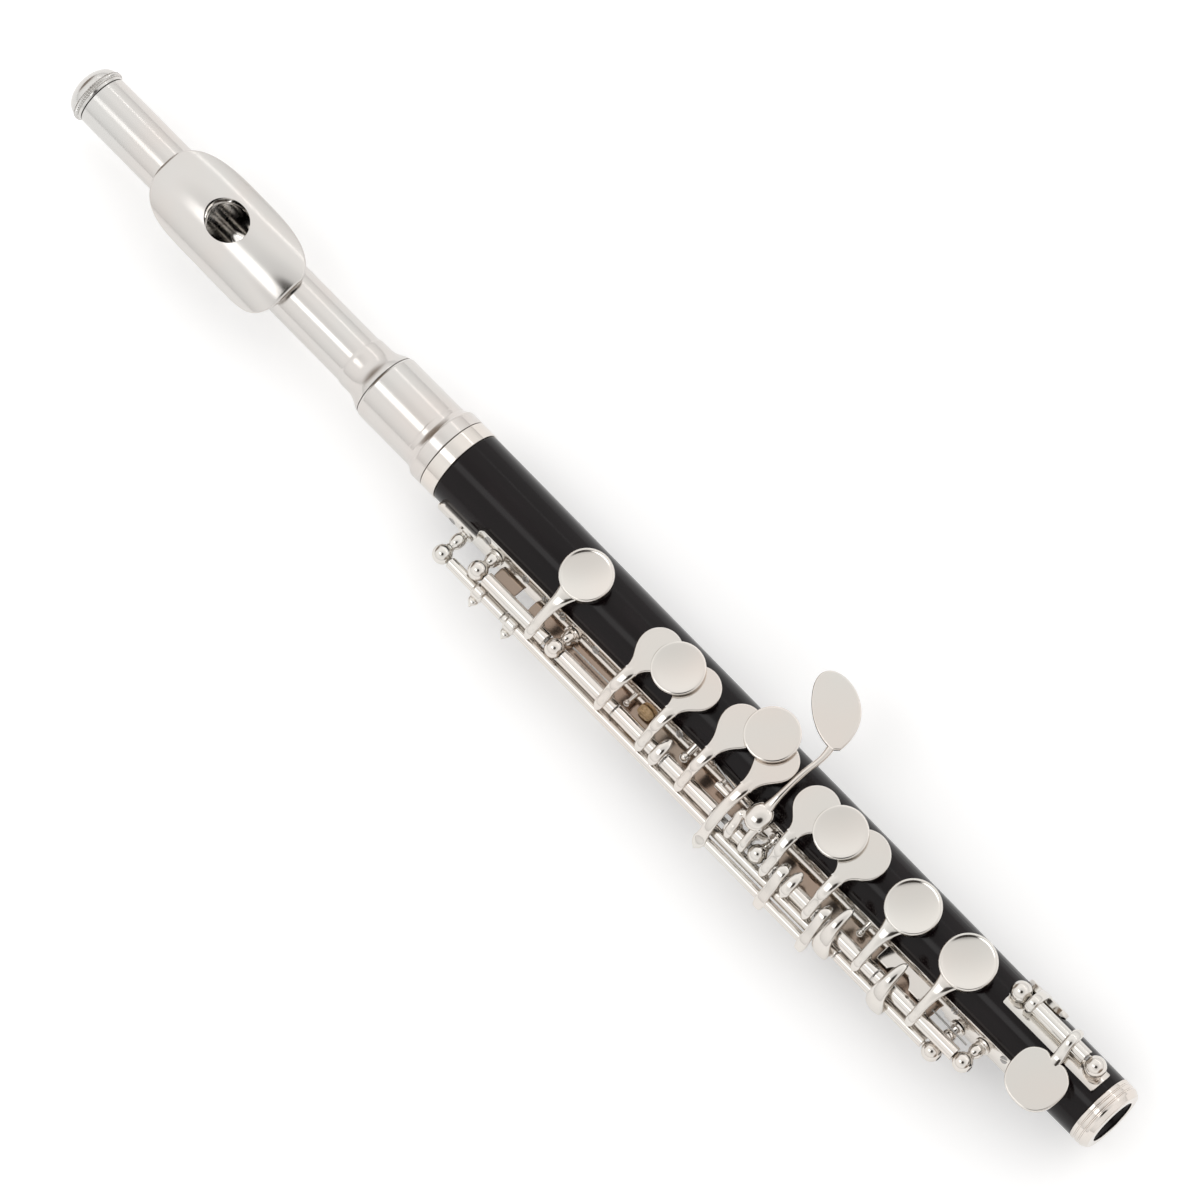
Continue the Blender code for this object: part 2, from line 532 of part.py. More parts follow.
def build_gsharp():
    y, z = INNER
    lever = bar([(216.2, 12.5, 11.9, 0.9, 0.5), (216.8, 8.0, 11.6, 0.75, 0.6),
                 (216.4, 3.0, 11.5, 0.7, 0.65), (216.4, -3.0, 11.0, 0.8, 0.7),
                 (216.4, -6.0, 10.1, 1.2, 0.8), (216.4, -8.0, 9.2, 1.6, 0.8)])
    bulb = ball((216.3, -9.0, 8.9), 3.0, squash=(1.0, 1.15, 0.62))
    yoke = bar([(212.9, -10.6, 8.9, 0.4, 0.5), (213.2, -11.4, 8.8, 1.0, 0.8),
                (213.6, y + 1.0, z + 2.3, 1.1, 0.8), (213.8, y - 0.9, z + 1.6, 1.05, 0.7),
                (213.9, y - 1.8, z + 0.4, 0.9, 0.6), (214.0, y - 2.2, z - 0.6, 0.35, 0.3)])
    bridge = bar([(213.4, -10.9, 8.8, 0.9, 0.75), (214.6, -10.8, 8.9, 0.9, 0.9),
                  (216.5, -10.7, 8.9, 0.9, 0.9), (218.4, -10.8, 8.8, 0.9, 0.7)], power=3)
    second = bar([(217.6, -10.9, 8.6, 1.0, 0.8), (217.7, y + 1.1, z + 2.4, 0.95, 0.75),
                  (217.8, y - 0.8, z + 1.6, 0.9, 0.65), (217.9, y - 1.8, z + 0.3, 0.8, 0.55),
                  (217.9, y - 2.2, z - 0.6, 0.3, 0.25)])
    under = bar([(213.9, y + 0.2, z - 1.5, 1.0, 0.5), (214.0, y + 1.3, z - 3.4, 1.0, 0.55),
                 (214.5, -12.4, -0.6, 1.0, 0.55), (215.4, -11.5, -2.8, 1.0, 0.55),
                 (216.0, -10.1, -4.5, 1.1, 0.5), (216.2, -8.6, -6.1, 1.1, 0.5),
                 (216.2, -7.7, -7.2, 0.7, 0.35)])
    seat, up = ray(214), radius_at(216) + 0.1
    lid = turned([(up + 1.0, 0), (up + 1.0, 3.2), (up + 0.2, 3.2), (up + 0.2, 3.7), (up + 1.7, 3.7),
                  (up + 1.9, 3.4), (up + 1.9, 0)], SEG, (216.2, 0, 0), seat)
    key("gsharp_key", INNER, (212.2, 218.4),
        [hub(213.9, INNER), hub(217.8, INNER, 2.05, 1.9), plate(gsharp_touch(), 11.5, 12.4, 0.3), lever, bulb, yoke,
         bridge, second, under, lid])
    piece("gsharp_pad", "pad_skin", turned([(up + 0.05, 0), (up + 0.05, 3.05), (up + 0.95, 3.05),
                                            (up + 0.95, 0)], SEG, (216.2, 0, 0), seat))


def horn(x, lean):
    """A trill touch: a curved horn from under the outer rod up and over the inner one."""
    y, z = OUTER
    return bar([(x + 1.7 * lean, y - 0.6, z - 1.5, 0.8, 0.5), (x + 0.8 * lean, y - 2.1, z - 0.1, 1.9, 0.8),
                (x + 0.3 * lean, y - 1.7, z + 2.2, 2.3, 1.0), (x, y - 0.4, z + 4.6, 1.9, 1.0),
                (x - 0.1, y + 2.0, z + 6.5, 1.55, 0.95), (x - 0.1, y + 4.6, z + 7.2, 1.25, 0.8),
                (x, y + 6.8, z + 7.2, 0.8, 0.6), (x + 0.1, y + 7.6, z + 6.9, 0.4, 0.35)], power=2.2)


def trill_cup(name, x, degrees):
    """Collar, wrap-under arm and lid of a trill key, which is shut at rest."""
    y, z = OUTER
    seat, up = ray(degrees), radius_at(x) + 0.1
    top = seat * (up + 1.45)
    arm = bar([(x + 1.1, y - 3.3, z - 0.5, 0.3, 0.25), (x + 0.9, y - 2.4, z - 0.6, 1.0, 0.7),
               (x + 0.6, y - 1.6, z - 1.2, 1.2, 0.8), (x + 0.3, y + 0.3, z - 2.6, 1.1, 0.7),
               (x, y + 2.2, z - 5.2, 1.1, 0.6),
               (x, top.y * 0.45 + (y + 3.0) * 0.55, top.z - 0.2, 1.1, 0.55),
               (x, top.y - 0.6, top.z - 0.7, 1.1, 0.5), (x, top.y + 1.2, top.z - 1.1, 0.8, 0.4)])
    lid = turned([(up + 0.9, 0), (up + 0.9, 2.9), (up + 0.2, 2.9), (up + 0.2, 3.4), (up + 1.5, 3.4),
                  (up + 1.7, 3.1), (up + 1.7, 0)], SEG, (x, 0, 0), seat)
    pad = turned([(up + 0.05, 0), (up + 0.05, 2.75), (up + 0.85, 2.75), (up + 0.85, 0)], SEG, (x, 0, 0),
                 seat)
    piece(name, "pad_skin", pad)
    return [hub(x + 0.7, OUTER, 1.95, 3.0), arm, lid]


def build_trills():
    outer_tube = rod(147.6, 246.8, OUTER, OUTER_R)
    piece("d_trill_key", "key_silver", outer_tube, trill_cup("d_trill_pad", 149.3, 234) + [horn(243.7, 0.8)],
          [rod(140, 255, OUTER, 0.8)], (200.0, *OUTER))
    core = turned([(127.4, 0), (127.4, 0.6), (131.2, 0.6), (131.2, OUTER_R), (147.3, OUTER_R),
                   (147.3, 0.65), (247.1, 0.65), (247.1, OUTER_R), (272.3, OUTER_R), (272.3, 0.6),
                   (276.1, 0.6), (276.1, 0)], SEG, (0, *OUTER))
    piece("dsharp_trill_key", "key_silver", core, trill_cup("dsharp_trill_pad", 139.6, 234)
          + [horn(259.5, 1.0)], pivot=(200.0, *OUTER))


def dsharp_touch(points=20):
    """Outline of the flat touch: nearly a square with very round corners, one of them cut back."""
    outline = []
    for k in range(points):
        a = 2 * pi * k / points
        c, s = cos(a), sin(a)
        size = 1 - 0.14 * max(0, cos(a + radians(140))) ** 2
        outline.append((294.8 + size * 6.7 * abs(c) ** 0.83 * (1 if c > 0 else -1),
                        -7.2 + size * 6.4 * abs(s) ** 0.83 * (1 if s > 0 else -1)))
    return outline


def build_dsharp():
    y, z = DSHARP
    x, degrees, _ = DSHARP_HOLE
    seat = ray(degrees)
    near = seat * (DSHARP_SEAT + 1.5) + Vector((0, -sin(radians(degrees)), cos(radians(degrees)))) * 4.6
    front = bar([(295.0, -2.6, 10.75, 1.4, 0.45), (294.8, -0.4, 11.1, 1.3, 0.55),
                 (294.5, 1.7, 12.2, 1.2, 0.65),
                 (294.3, y, z + 1.95, 1.2, 0.7), (294.2, y + 1.8, z + 1.2, 1.2, 0.65),
                 (294.2, y + 2.9, z - 0.1, 0.8, 0.5)])
    back = bar([(283.4, y - 2.0, z + 0.2, 0.7, 0.4), (283.4, y - 1.3, z + 1.4, 1.1, 0.6),
                (283.4, y + 0.3, z + 1.95, 1.1, 0.7), (283.4, y + 2.2, z + 0.6, 1.1, 0.6),
                (283.0, near.y - 0.5, near.z + 1.9, 1.2, 0.5), (283.1, near.y + 0.1, near.z, 1.2, 0.45),
                (283.1, near.y + 0.7, near.z - 2.6, 1.0, 0.35)])
    base = DSHARP_SEAT + 0.05
    lid = turned([(base + 0.95, 0), (base + 0.95, 4.9), (base + 0.15, 4.9), (base + 0.15, 5.4),
                  (base + 1.5, 5.4),
                  (base + 1.7, 5.1), (base + 1.7, 0)], CUP_SEG, (x, 0, 0), seat)
    key("dsharp_key", DSHARP, (282.3, 298.7),
        [hub(283.4, DSHARP), hub(294.3, DSHARP, 1.9, 2.4), plate(dsharp_touch(), 10.2, 11.2, 0.35), front,
         back, lid])
    pad = turned([(base, 0), (base, 4.75), (base + 0.9, 4.75), (base + 0.9, 0)], CUP_SEG, (x, 0, 0), seat)
    piece("dsharp_pad", "pad_skin", pad)


def build_thumb():
    y, z = THUMB
    low = Vector((0, 0, -1))
    seat_z = radius_at(163) + 1.4
    lid = turned([(seat_z + 1.0, 0), (seat_z + 1.0, 4.1), (seat_z + 0.2, 4.1), (seat_z + 0.2, 4.6),
                  (seat_z + 1.6, 4.6), (seat_z + 1.9, 4.2), (seat_z + 1.9, 0)],
                 CUP_SEG, (163.0, 0.3, 0), low)
    arm = bar([(163.0, y - 0.3, z - 1.7, 1.0, 0.4), (163.0, y + 1.6, z - 3.0, 1.2, 0.55),
               (163.0, -7.0, -11.6, 1.3, 0.55), (163.0, -3.5, -12.0, 1.6, 0.45)])
    key("thumb_b_key", THUMB, (159.4, 167.3), [hub(163.0, THUMB), arm, lid])
    piece("thumb_b_pad", "pad_skin", turned([(seat_z, 0), (seat_z, 3.95), (seat_z + 0.95, 3.95),
                                             (seat_z + 0.95, 0)], CUP_SEG, (163.0, 0.3, 0), low))
    arm = bar([(171.5, y - 0.3, z - 1.7, 1.0, 0.4), (171.5, y + 1.6, z - 3.0, 1.2, 0.55),
               (171.5, -7.0, -11.6, 1.3, 0.55), (171.6, -4.6, -12.0, 2.0, 0.5),
               (171.8, -1.5, -12.0, 2.9, 0.5), (172.0, 1.6, -11.8, 2.7, 0.45),
               (172.0, 3.4, -11.4, 1.6, 0.4)])
    key("thumb_bflat_key", THUMB, (167.7, 175.3), [hub(171.5, THUMB), arm])


def build_small():
    for name, start, end in (("spring_g", (200.6, -7.3, 6.7), (218.0, -9.4, 5.3)),
                             ("spring_a", (162.6, -11.1, 3.9), (173.8, -11.1, 4.6)),
                             ("spring_d", (279.0, -10.9, 4.0), (268.9, -10.9, 4.7))):
        a, b = Vector(start), Vector(end)
        piece(name, "steel", turned([(0, 0.22), ((b - a).length, 0.2)], 8, a, b - a))
    out = radius_at(183) + 1.3
    piece("key_bumper", "cork", turned([(out, 1.7), (out + 1.5, 1.6)], 10, (183.0, 0, 0), ray(160),
                                       stretch=(1.1, 0.8)))


build_head()
build_body()
build_frames()
build_upper_keys()
build_lower_g()
build_gsharp()
build_trills()
build_dsharp()
build_thumb()
build_small()
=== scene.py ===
"""Piccolo: the finished surfaces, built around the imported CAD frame.

Every CAD node is replaced by a fine piece of the same shape. Pieces are drawn in millimetres in the
bore's frame (+X from crown to foot, hinge rods on the -Y side) and then moved into the row frame.
"""
import json
from math import asin, cos, degrees, pi, radians, sin, sqrt

import bmesh
import bpy
from mathutils import Matrix, Vector


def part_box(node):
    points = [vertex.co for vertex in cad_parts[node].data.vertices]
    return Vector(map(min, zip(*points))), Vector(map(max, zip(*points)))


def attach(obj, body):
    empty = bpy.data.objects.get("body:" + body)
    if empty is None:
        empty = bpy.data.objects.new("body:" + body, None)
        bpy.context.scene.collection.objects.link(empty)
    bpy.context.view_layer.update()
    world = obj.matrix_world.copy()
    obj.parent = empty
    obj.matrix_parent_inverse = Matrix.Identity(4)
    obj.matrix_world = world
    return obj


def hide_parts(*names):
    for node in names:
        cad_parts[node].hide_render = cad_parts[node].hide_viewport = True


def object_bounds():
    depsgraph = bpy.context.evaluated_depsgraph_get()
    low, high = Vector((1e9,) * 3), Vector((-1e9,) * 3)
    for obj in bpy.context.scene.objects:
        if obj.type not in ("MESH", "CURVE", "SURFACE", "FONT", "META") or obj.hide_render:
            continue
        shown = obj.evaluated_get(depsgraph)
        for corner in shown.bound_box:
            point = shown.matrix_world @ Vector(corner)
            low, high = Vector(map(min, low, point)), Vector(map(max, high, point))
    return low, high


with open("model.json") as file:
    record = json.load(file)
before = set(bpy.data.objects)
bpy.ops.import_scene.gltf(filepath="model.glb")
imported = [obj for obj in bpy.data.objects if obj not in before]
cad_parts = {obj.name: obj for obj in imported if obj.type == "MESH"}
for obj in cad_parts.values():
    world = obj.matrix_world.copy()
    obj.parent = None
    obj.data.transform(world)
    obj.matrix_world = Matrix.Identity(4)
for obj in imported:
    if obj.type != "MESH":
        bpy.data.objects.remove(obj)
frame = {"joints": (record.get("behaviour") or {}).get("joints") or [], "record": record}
cad_low, cad_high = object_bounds()

MM = 0.001
FINE, ROUND, TUBE = 36, 72, 144          # sides of small, middle-sized and large turned shapes
FOOT_END = 310.2                         # the foot ring's end, counted along the bore
UP = (0, 0, 1)

# ---- where things are, read from the frame ----

foot_low, foot_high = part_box("foot_ring")
CENTRE = Vector((FOOT_END, 0, 0)) - Vector((foot_high.x, *((foot_low + foot_high) / 2).yz)) / MM
JOINTS = {joint["child"]: joint for joint in frame["joints"]}
BODY_OF = {node: body for body, nodes in frame["record"]["behaviour"]["bodies"].items() for node in nodes}


def box_mm(node):
    """(lowest corner, highest corner) of a node in the bore's frame."""
    low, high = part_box(node)
    return low / MM + CENTRE, high / MM + CENTRE


def start_of(node):
    return box_mm(node)[0].x


def end_of(node):
    return box_mm(node)[1].x


def top_of(node):
    return box_mm(node)[1].z


def middle_x(node):
    return (start_of(node) + end_of(node)) / 2


def hinge_line(body):
    """(y, z) of the line that a body turns about."""
    at = Vector(JOINTS[body]["pos_m"]) / MM + CENTRE
    return at.y, at.z


def cup_of(pad):
    """Middle (x, y) and radius of the key cup that holds a pad."""
    low, high = box_mm(pad)
    return (low.x + high.x) / 2, (low.y + high.y) / 2, (high.x - low.x) / 2 + 0.75


INNER, OUTER = hinge_line("c_key"), hinge_line("d_trill")
DSHARP, THUMB = hinge_line("dsharp"), hinge_line("thumb_b")
BRIDGE = (-19.35, 2.0)                   # the lower G key's bridge, outside the outer rod
CROWN_TIP, HEAD_START, STOPPER_FACE = start_of("crown"), start_of("head_tube"), end_of("stopper_screw")
COLLAR, FLARE = 85.0, 89.6
LIP_START, LIP_END = start_of("lip_plate"), end_of("lip_plate")
LIP_T, LIP_WIDE, LIP_TALL, LIP_LOW = 0.85, 11.2, 8.3, 0.5
EMBOUCHURE, HEAD_TURN = Vector((45.8, 0.0, 0.0)), radians(4.0)
RECEIVER, RECEIVER_END = start_of("receiver"), end_of("receiver")
RING_START, RESIN_START = start_of("body_ring"), end_of("body_ring") + 0.15
TENON_START, FOOT_START = start_of("body_tube"), start_of("foot_ring")
HEAD_R, HEAD_BORE, RECEIVER_R, RING_R = 6.0, 5.4, 8.1, top_of("body_ring")
RESIN_R0, RESIN_R1, TENON_R, CORK_R = top_of("body_tube"), 7.88, 6.5, top_of("tenon_cork")
ROD_R, OUTER_R, BRIDGE_R, HOLE_R, BALL_R = 1.62, 1.3, 1.1, 0.75, 2.2
PLATE_T, PAD_T = 0.9, 0.95
PLATE_TOP = top_of("bflat_cup_pad") + PLATE_T + 0.05
DISC_TOP = top_of("a_key")
TRILL_ANGLE, GSHARP_ANGLE, DSHARP_ANGLE = 234, 214, 11       # round the bore, from +Y through the top
DSHARP_X, DSHARP_SEAT, DSHARP_FACE_R = middle_x("dsharp_pad"), 7.2, 5.95


def radius_at(x):
    """Outside radius of the tapered resin body."""
    return RESIN_R0 + (RESIN_R1 - RESIN_R0) * (x - RESIN_START) / (FOOT_START - RESIN_START)


# ---- materials ----

def set_stops(node, stops):
    """Gives a colour ramp its (place, colour) stops."""
    points = node.color_ramp.elements
    while len(points) < len(stops):
        points.new(0.5)
    for point, (at, colour) in zip(points, stops):
        point.position = at
        point.color = (*colour, 1)


class Nodes:
    """A small helper to write a node material."""

    def __init__(self, name):
        self.material = bpy.data.materials.new(name)
        self.material.use_nodes = True
        self.tree = self.material.node_tree
        self.shader = self.tree.nodes["Principled BSDF"]
        self.place = self.tree.nodes.new("ShaderNodeTexCoord").outputs["Object"]

    def noise(self, scale, stretch=(1, 1, 1), detail=3.0, rough=0.5):
        mapping = self.tree.nodes.new("ShaderNodeMapping")
        mapping.inputs["Scale"].default_value = stretch
        self.tree.links.new(self.place, mapping.inputs["Vector"])
        made = self.tree.nodes.new("ShaderNodeTexNoise")
        made.inputs["Scale"].default_value = scale
        made.inputs["Detail"].default_value = detail
        made.inputs["Roughness"].default_value = rough
        self.tree.links.new(mapping.outputs["Vector"], made.inputs["Vector"])
        return made.outputs["Fac"]

    def ramp(self, value, stops):
        made = self.tree.nodes.new("ShaderNodeValToRGB")
        set_stops(made, stops)
        self.tree.links.new(value, made.inputs["Fac"])
        return made.outputs["Color"]

    def span(self, value, low, high):
        made = self.tree.nodes.new("ShaderNodeMapRange")
        made.inputs["From Min"].default_value = 0.3
        made.inputs["From Max"].default_value = 0.7
        made.inputs["To Min"].default_value = low
        made.inputs["To Max"].default_value = high
        self.tree.links.new(value, made.inputs["Value"])
        return made.outputs["Result"]

    def bump(self, value, strength, distance):
        made = self.tree.nodes.new("ShaderNodeBump")
        made.inputs["Strength"].default_value = strength
        made.inputs["Distance"].default_value = distance
        self.tree.links.new(value, made.inputs["Height"])
        self.tree.links.new(made.outputs["Normal"], self.shader.inputs["Normal"])

    def wire(self, output, name):
        self.tree.links.new(output, self.shader.inputs[name])


def silver(name, colour, rough, spread, tint=0.02, bump=0.02):
    """Plated silver: a faint warm and cool drift of colour, a polish that varies, and fine hairlines."""
    n = Nodes(name)
    n.shader.inputs["Metallic"].default_value = 1.0
    warm = tuple(c * k for c, k in zip(colour, (1 + tint, 1 - tint * 0.4, 1 - tint)))
    cool = tuple(c * k for c, k in zip(colour, (1 - tint, 1 + tint * 0.2, 1 + tint * 0.6)))
    n.wire(n.ramp(n.noise(55, detail=2.0), [(0.3, cool), (0.52, colour), (0.7, warm)]), "Base Color")
    n.wire(n.span(n.noise(260, detail=5.0, rough=0.6), rough - spread, rough + spread), "Roughness")
    n.bump(n.noise(2600, (1, 9, 9), 4.0), bump, 0.00002)
    return n.material


def resin():
    """Near-black resin with a faint brown-violet cast and a satin, slightly uneven polish."""
    n = Nodes("resin")
    n.wire(n.ramp(n.noise(160, (0.25, 1, 1), 6.0, 0.6),
                  [(0.3, (0.004, 0.0024, 0.0026)), (0.55, (0.0065, 0.004, 0.0044)),
                   (0.75, (0.011, 0.007, 0.0078))]), "Base Color")
    n.wire(n.span(n.noise(420, (0.2, 1, 1), 4.0), 0.13, 0.19), "Roughness")
    n.shader.inputs["Specular IOR Level"].default_value = 0.19
    n.bump(n.noise(3800, (0.3, 1, 1), 3.0), 0.05, 0.00002)
    return n.material


def cork():
    """Natural cork: pale tan with darker pores."""
    n = Nodes("cork")
    n.wire(n.ramp(n.noise(1500, detail=8.0, rough=0.7),
                  [(0.34, (0.16, 0.085, 0.04)), (0.46, (0.50, 0.33, 0.17)), (0.62, (0.66, 0.47, 0.28))]),
           "Base Color")
    n.wire(n.span(n.noise(900), 0.75, 0.95), "Roughness")
    n.bump(n.noise(2200, detail=6.0), 0.5, 0.0001)
    return n.material


def pad_skin():
    """Bladder skin over felt, cream, with faint wrinkles."""
    n = Nodes("pad_skin")
    n.wire(n.ramp(n.noise(500, detail=5.0), [(0.3, (0.46, 0.36, 0.23)), (0.6, (0.66, 0.55, 0.38)),
                                            (0.8, (0.72, 0.62, 0.46))]), "Base Color")
    n.wire(n.span(n.noise(800), 0.42, 0.62), "Roughness")
    n.bump(n.noise(1400, (1, 1, 0.3), 5.0), 0.25, 0.00006)
    return n.material


def steel():
    """Hardened steel of screws and springs, a little darker than the plate."""
    n = Nodes("steel")
    n.shader.inputs["Metallic"].default_value = 1.0
    n.wire(n.ramp(n.noise(400, detail=4.0), [(0.3, (0.30, 0.29, 0.28)), (0.7, (0.42, 0.41, 0.40))]),
           "Base Color")
    n.wire(n.span(n.noise(900), 0.22, 0.36), "Roughness")
    n.bump(n.noise(4000, (1, 6, 6)), 0.05, 0.00002)
    return n.material


LOOKS = {
    "head_silver": silver("head_silver", (0.63, 0.605, 0.58), 0.19, 0.03),
    "key_silver": silver("key_silver", (0.695, 0.658, 0.615), 0.12, 0.025),
    "resin": resin(),
    "cork": cork(),
    "pad_skin": pad_skin(),
    "steel": steel(),
    # dark brown metal for the strips under the rods: painted shade in the gap between the rib and the rods
    "painted_shade_metal": silver("painted_shade_metal", (0.32, 0.25, 0.20), 0.17, 0.04, 0.05),
    # a much brighter copy of the plating's silver for inside the bore: painted light where the bore would
    # stay dark
    "bore_painted_light": silver("bore_painted_light", (0.96, 0.94, 0.91), 0.08, 0.02),
}


# ---- shapes, as (points, faces) in millimetres ----

def rings_to_solid(rings, loop=False):
    """Skins rings of equal length. A ring of one point is a tip. Without loop, both ends are capped."""
    points, faces, starts = [], [], []
    for ring in rings:
        starts.append(len(points))
        points += [Vector(p) for p in ring]
    pairs = list(zip(range(len(rings)), range(1, len(rings))))
    if loop:
        pairs.append((len(rings) - 1, 0))
    for a, b in pairs:
        na, nb = len(rings[a]), len(rings[b])
        for k in range(max(na, nb)):
            quad = [starts[a] + k % na, starts[a] + (k + 1) % na,
                    starts[b] + (k + 1) % nb, starts[b] + k % nb]
            faces.append([v for i, v in enumerate(quad) if v not in quad[:i]])
    if not loop:
        for end in (0, -1):
            if len(rings[end]) > 2:
                faces.append([starts[end] + k for k in range(len(rings[end]))])
    return points, faces


def frame_of(axis):
    axis = Vector(axis).normalized()
    side = Vector((1, 0, 0)) if abs(axis.x) < 0.9 else Vector((0, 1, 0))
    u = (side - axis * side.dot(axis)).normalized()
    return axis, u, axis.cross(u)


def eased(profile, radius, loop=False, steps=4):
    """Rounds the corners of a turned profile."""
    done, count = [], len(profile)
    for i, corner in enumerate(profile):
        at = Vector(corner)
        ends = not loop and i in (0, count - 1)
        before, after = Vector(profile[i - 1]) - at, Vector(profile[(i + 1) % count]) - at
        reach = min(radius, before.length * 0.45, after.length * 0.45)
        if ends or reach < 0.01 or before.angle(after) > radians(172):
            done.append((at.x, at.y))
            continue
        a, b = at + before.normalized() * reach, at + after.normalized() * reach
        for k in range(steps + 1):
            t = k / steps
            p = a * (1 - t) ** 2 + at * 2 * t * (1 - t) + b * t * t
            done.append((p.x, p.y))
    return done


def turned(profile, seg, origin=(0, 0, 0), axis=(1, 0, 0), loop=False, stretch=(1, 1), ease=0):
    """Revolves (distance along the axis, radius) points, with corners eased by a radius."""
    if ease:
        profile = eased(profile, ease, loop)
    axis, u, v = frame_of(axis)
    origin = Vector(origin)
    rings = []
    for h, r in profile:
        at = origin + axis * h
        if r < 1e-6:
            rings.append([at])
        else:
            rings.append([at + u * (r * stretch[0] * cos(2 * pi * k / seg))
                          + v * (r * stretch[1] * sin(2 * pi * k / seg)) for k in range(seg)])
    return rings_to_solid(rings, loop)


def peg(at, axis, start, end, r, seg=FINE):
    """A plain cylinder between two distances along an axis."""
    return turned([(start, r), (end, r)], seg, at, axis)


def drill(x0, x1, line, r):
    return peg((0, *line), (1, 0, 0), x0, x1, r)


def rod(x0, x1, line, r, ease=0.12):
    """A round bar with softly broken ends."""
    profile = [(x0, r - ease), (x0 + ease * 0.4, r - ease * 0.25), (x0 + ease, r),
               (x1 - ease, r), (x1 - ease * 0.4, r - ease * 0.25), (x1, r - ease)]
    return turned(profile, FINE, (0, *line))


def ball(centre, r, squash):
    half = FINE // 2
    profile = [(-r * cos(pi * k / half), r * sin(pi * k / half) if 0 < k < half else 0)
               for k in range(half + 1)]
    points, faces = turned(profile, FINE)
    return [Vector(centre) + Vector(p[i] * squash[i] for i in range(3)) for p in points], faces


def smooth_path(path, steps):
    """Catmull-Rom points through stations of any length."""
    points = [Vector(p) for p in path]
    points = [points[0] * 2 - points[1]] + points + [points[-1] * 2 - points[-2]]
    done = []
    for i in range(1, len(points) - 2):
        a, b, c, d = points[i - 1:i + 3]
        for k in range(steps):
            t = k / steps
            done.append((b * 2 + (c - a) * t + (a * 2 - b * 5 + c * 4 - d) * t * t
                         + (b * 3 - a - c * 3 + d) * t ** 3) * 0.5)
    return done + [points[-2]]


def bent(value, power):
    """A power that keeps the sign: it squares up a circle's sine and cosine."""
    return abs(value) ** power * (1 if value > 0 else -1)


def about(line, *stations):
    """Stations whose y and z are counted from a hinge line."""
    return [(x, line[0] + y, line[1] + z, w, t) for x, y, z, w, t in stations]


def bar(path, across=22, power=2.6, steps=5, side=(1, 0, 0)):
    """A bent bar with round ends through stations (x, y, z, half width along side, half thickness)."""
    stations = smooth_path(path, steps)
    centres = [Vector(s[:3]) for s in stations]
    side = Vector(side)
    sections = []
    for i, s in enumerate(stations):
        along = centres[min(i + 1, len(centres) - 1)] - centres[max(i - 1, 0)]
        along.normalize()
        wide = (side - along * along.dot(side)).normalized()
        sections.append((centres[i], along, wide, max(s[3], 0.12), max(s[4], 0.1)))
    rounded = []
    for end, sign in ((sections[0], -1), (sections[-1], 1)):
        at, along, wide, w, t = end
        cap = [(at + along * (sign * sin(a) * min(w, t)), along, wide, w * cos(a), t * cos(a))
               for a in map(radians, (12, 27, 42, 57, 70, 81))]
        rounded.append(cap)
    rings = []
    for at, along, wide, w, t in rounded[0][::-1] + sections + rounded[1]:
        up = wide.cross(along)
        ring = []
        for k in range(across):
            a = 2 * pi * (k + 0.5) / across
            ring.append(at + wide * (w * bent(cos(a), 2 / power)) + up * (t * bent(sin(a), 2 / power)))
        rings.append(ring)
    return rings_to_solid(rings)


def inset(outline, by):
    """Moves each corner of a flat outline inwards."""
    done, count = [], len(outline)
    area = sum(outline[i][0] * outline[(i + 1) % count][1] - outline[(i + 1) % count][0] * outline[i][1]
               for i in range(count))
    turn = 1 if area > 0 else -1
    for i in range(count):
        a, b, c = Vector(outline[i - 1]), Vector(outline[i]), Vector(outline[(i + 1) % count])
        into = Vector((-(c - a).y, (c - a).x)).normalized() * turn
        done.append(b + into * by)
    return done


def plate(outline, z0, z1, edge=0.25):
    """A flat plate with a rounded top edge and a softer bottom one."""
    low = edge * 0.5
    levels = [(z0, low), (z0 + low * 0.3, low * 0.3), (z0 + low, 0)]
    for k in range(6):
        a = radians(90) * k / 5
        levels.append((z1 - edge + edge * sin(a), edge * (1 - cos(a))))
    return rings_to_solid([[(*p, z) for p in inset(outline, by)] for z, by in levels])


def teardrop(cx, cy, r, neck_x, neck_y=-7.4, neck_w=1.5, round_points=56):
    """Outline of a key cup that narrows into its arm."""
    reach = radians(215)
    arc = [(cx + r * cos(radians(90) + reach / 2 - reach * k / round_points),
            cy + r * sin(radians(90) + reach / 2 - reach * k / round_points))
           for k in range(round_points + 1)]
    flanks = {1: [], -1: []}
    for side, start in ((1, arc[-1]), (-1, arc[0])):
        a = radians(90) - side * reach / 2
        tangent = Vector((sin(a), -cos(a))) * side
        p0, p3 = Vector(start), Vector((neck_x + side * neck_w, neck_y))
        p1, p2 = p0 + tangent * r * 0.55, p3 + Vector((0, 1)) * (abs(cy - neck_y) * 0.42)
        for k in range(1, 15):
            t = k / 14
            q = p0 * (1 - t) ** 3 + p1 * 3 * t * (1 - t) ** 2 + p2 * 3 * t * t * (1 - t) + p3 * t ** 3
            flanks[side].append((q.x, q.y))
    return arc + flanks[1] + flanks[-1][::-1]


def cup(x, y, r, top, depth, dish=0.35):
    """A round cup: a dished top inside a thin raised rim, hollow underneath for its pad."""
    hollow = [(0.32 * k / 8 * k / 8, (r - 1.0) * k / 8) for k in range(1, 9)]
    rim = [(dish + 0.02, r - 0.72), (dish + 0.10, r - 0.5), (dish + 0.10, r - 0.34), (dish + 0.02, r - 0.16),
           (dish - 0.12, r - 0.04), (dish - 0.3, r), (0.12 - depth, r), (-depth, r - 0.1),
           (-depth, r - 0.5), (-PLATE_T, r - 0.5), (-PLATE_T, 0)]
    return turned([(0, 0)] + hollow + rim, ROUND, (x, y, top), UP)


# ---- objects ----

workshop = bpy.data.collections.new("workshop")
bpy.context.scene.collection.children.link(workshop)


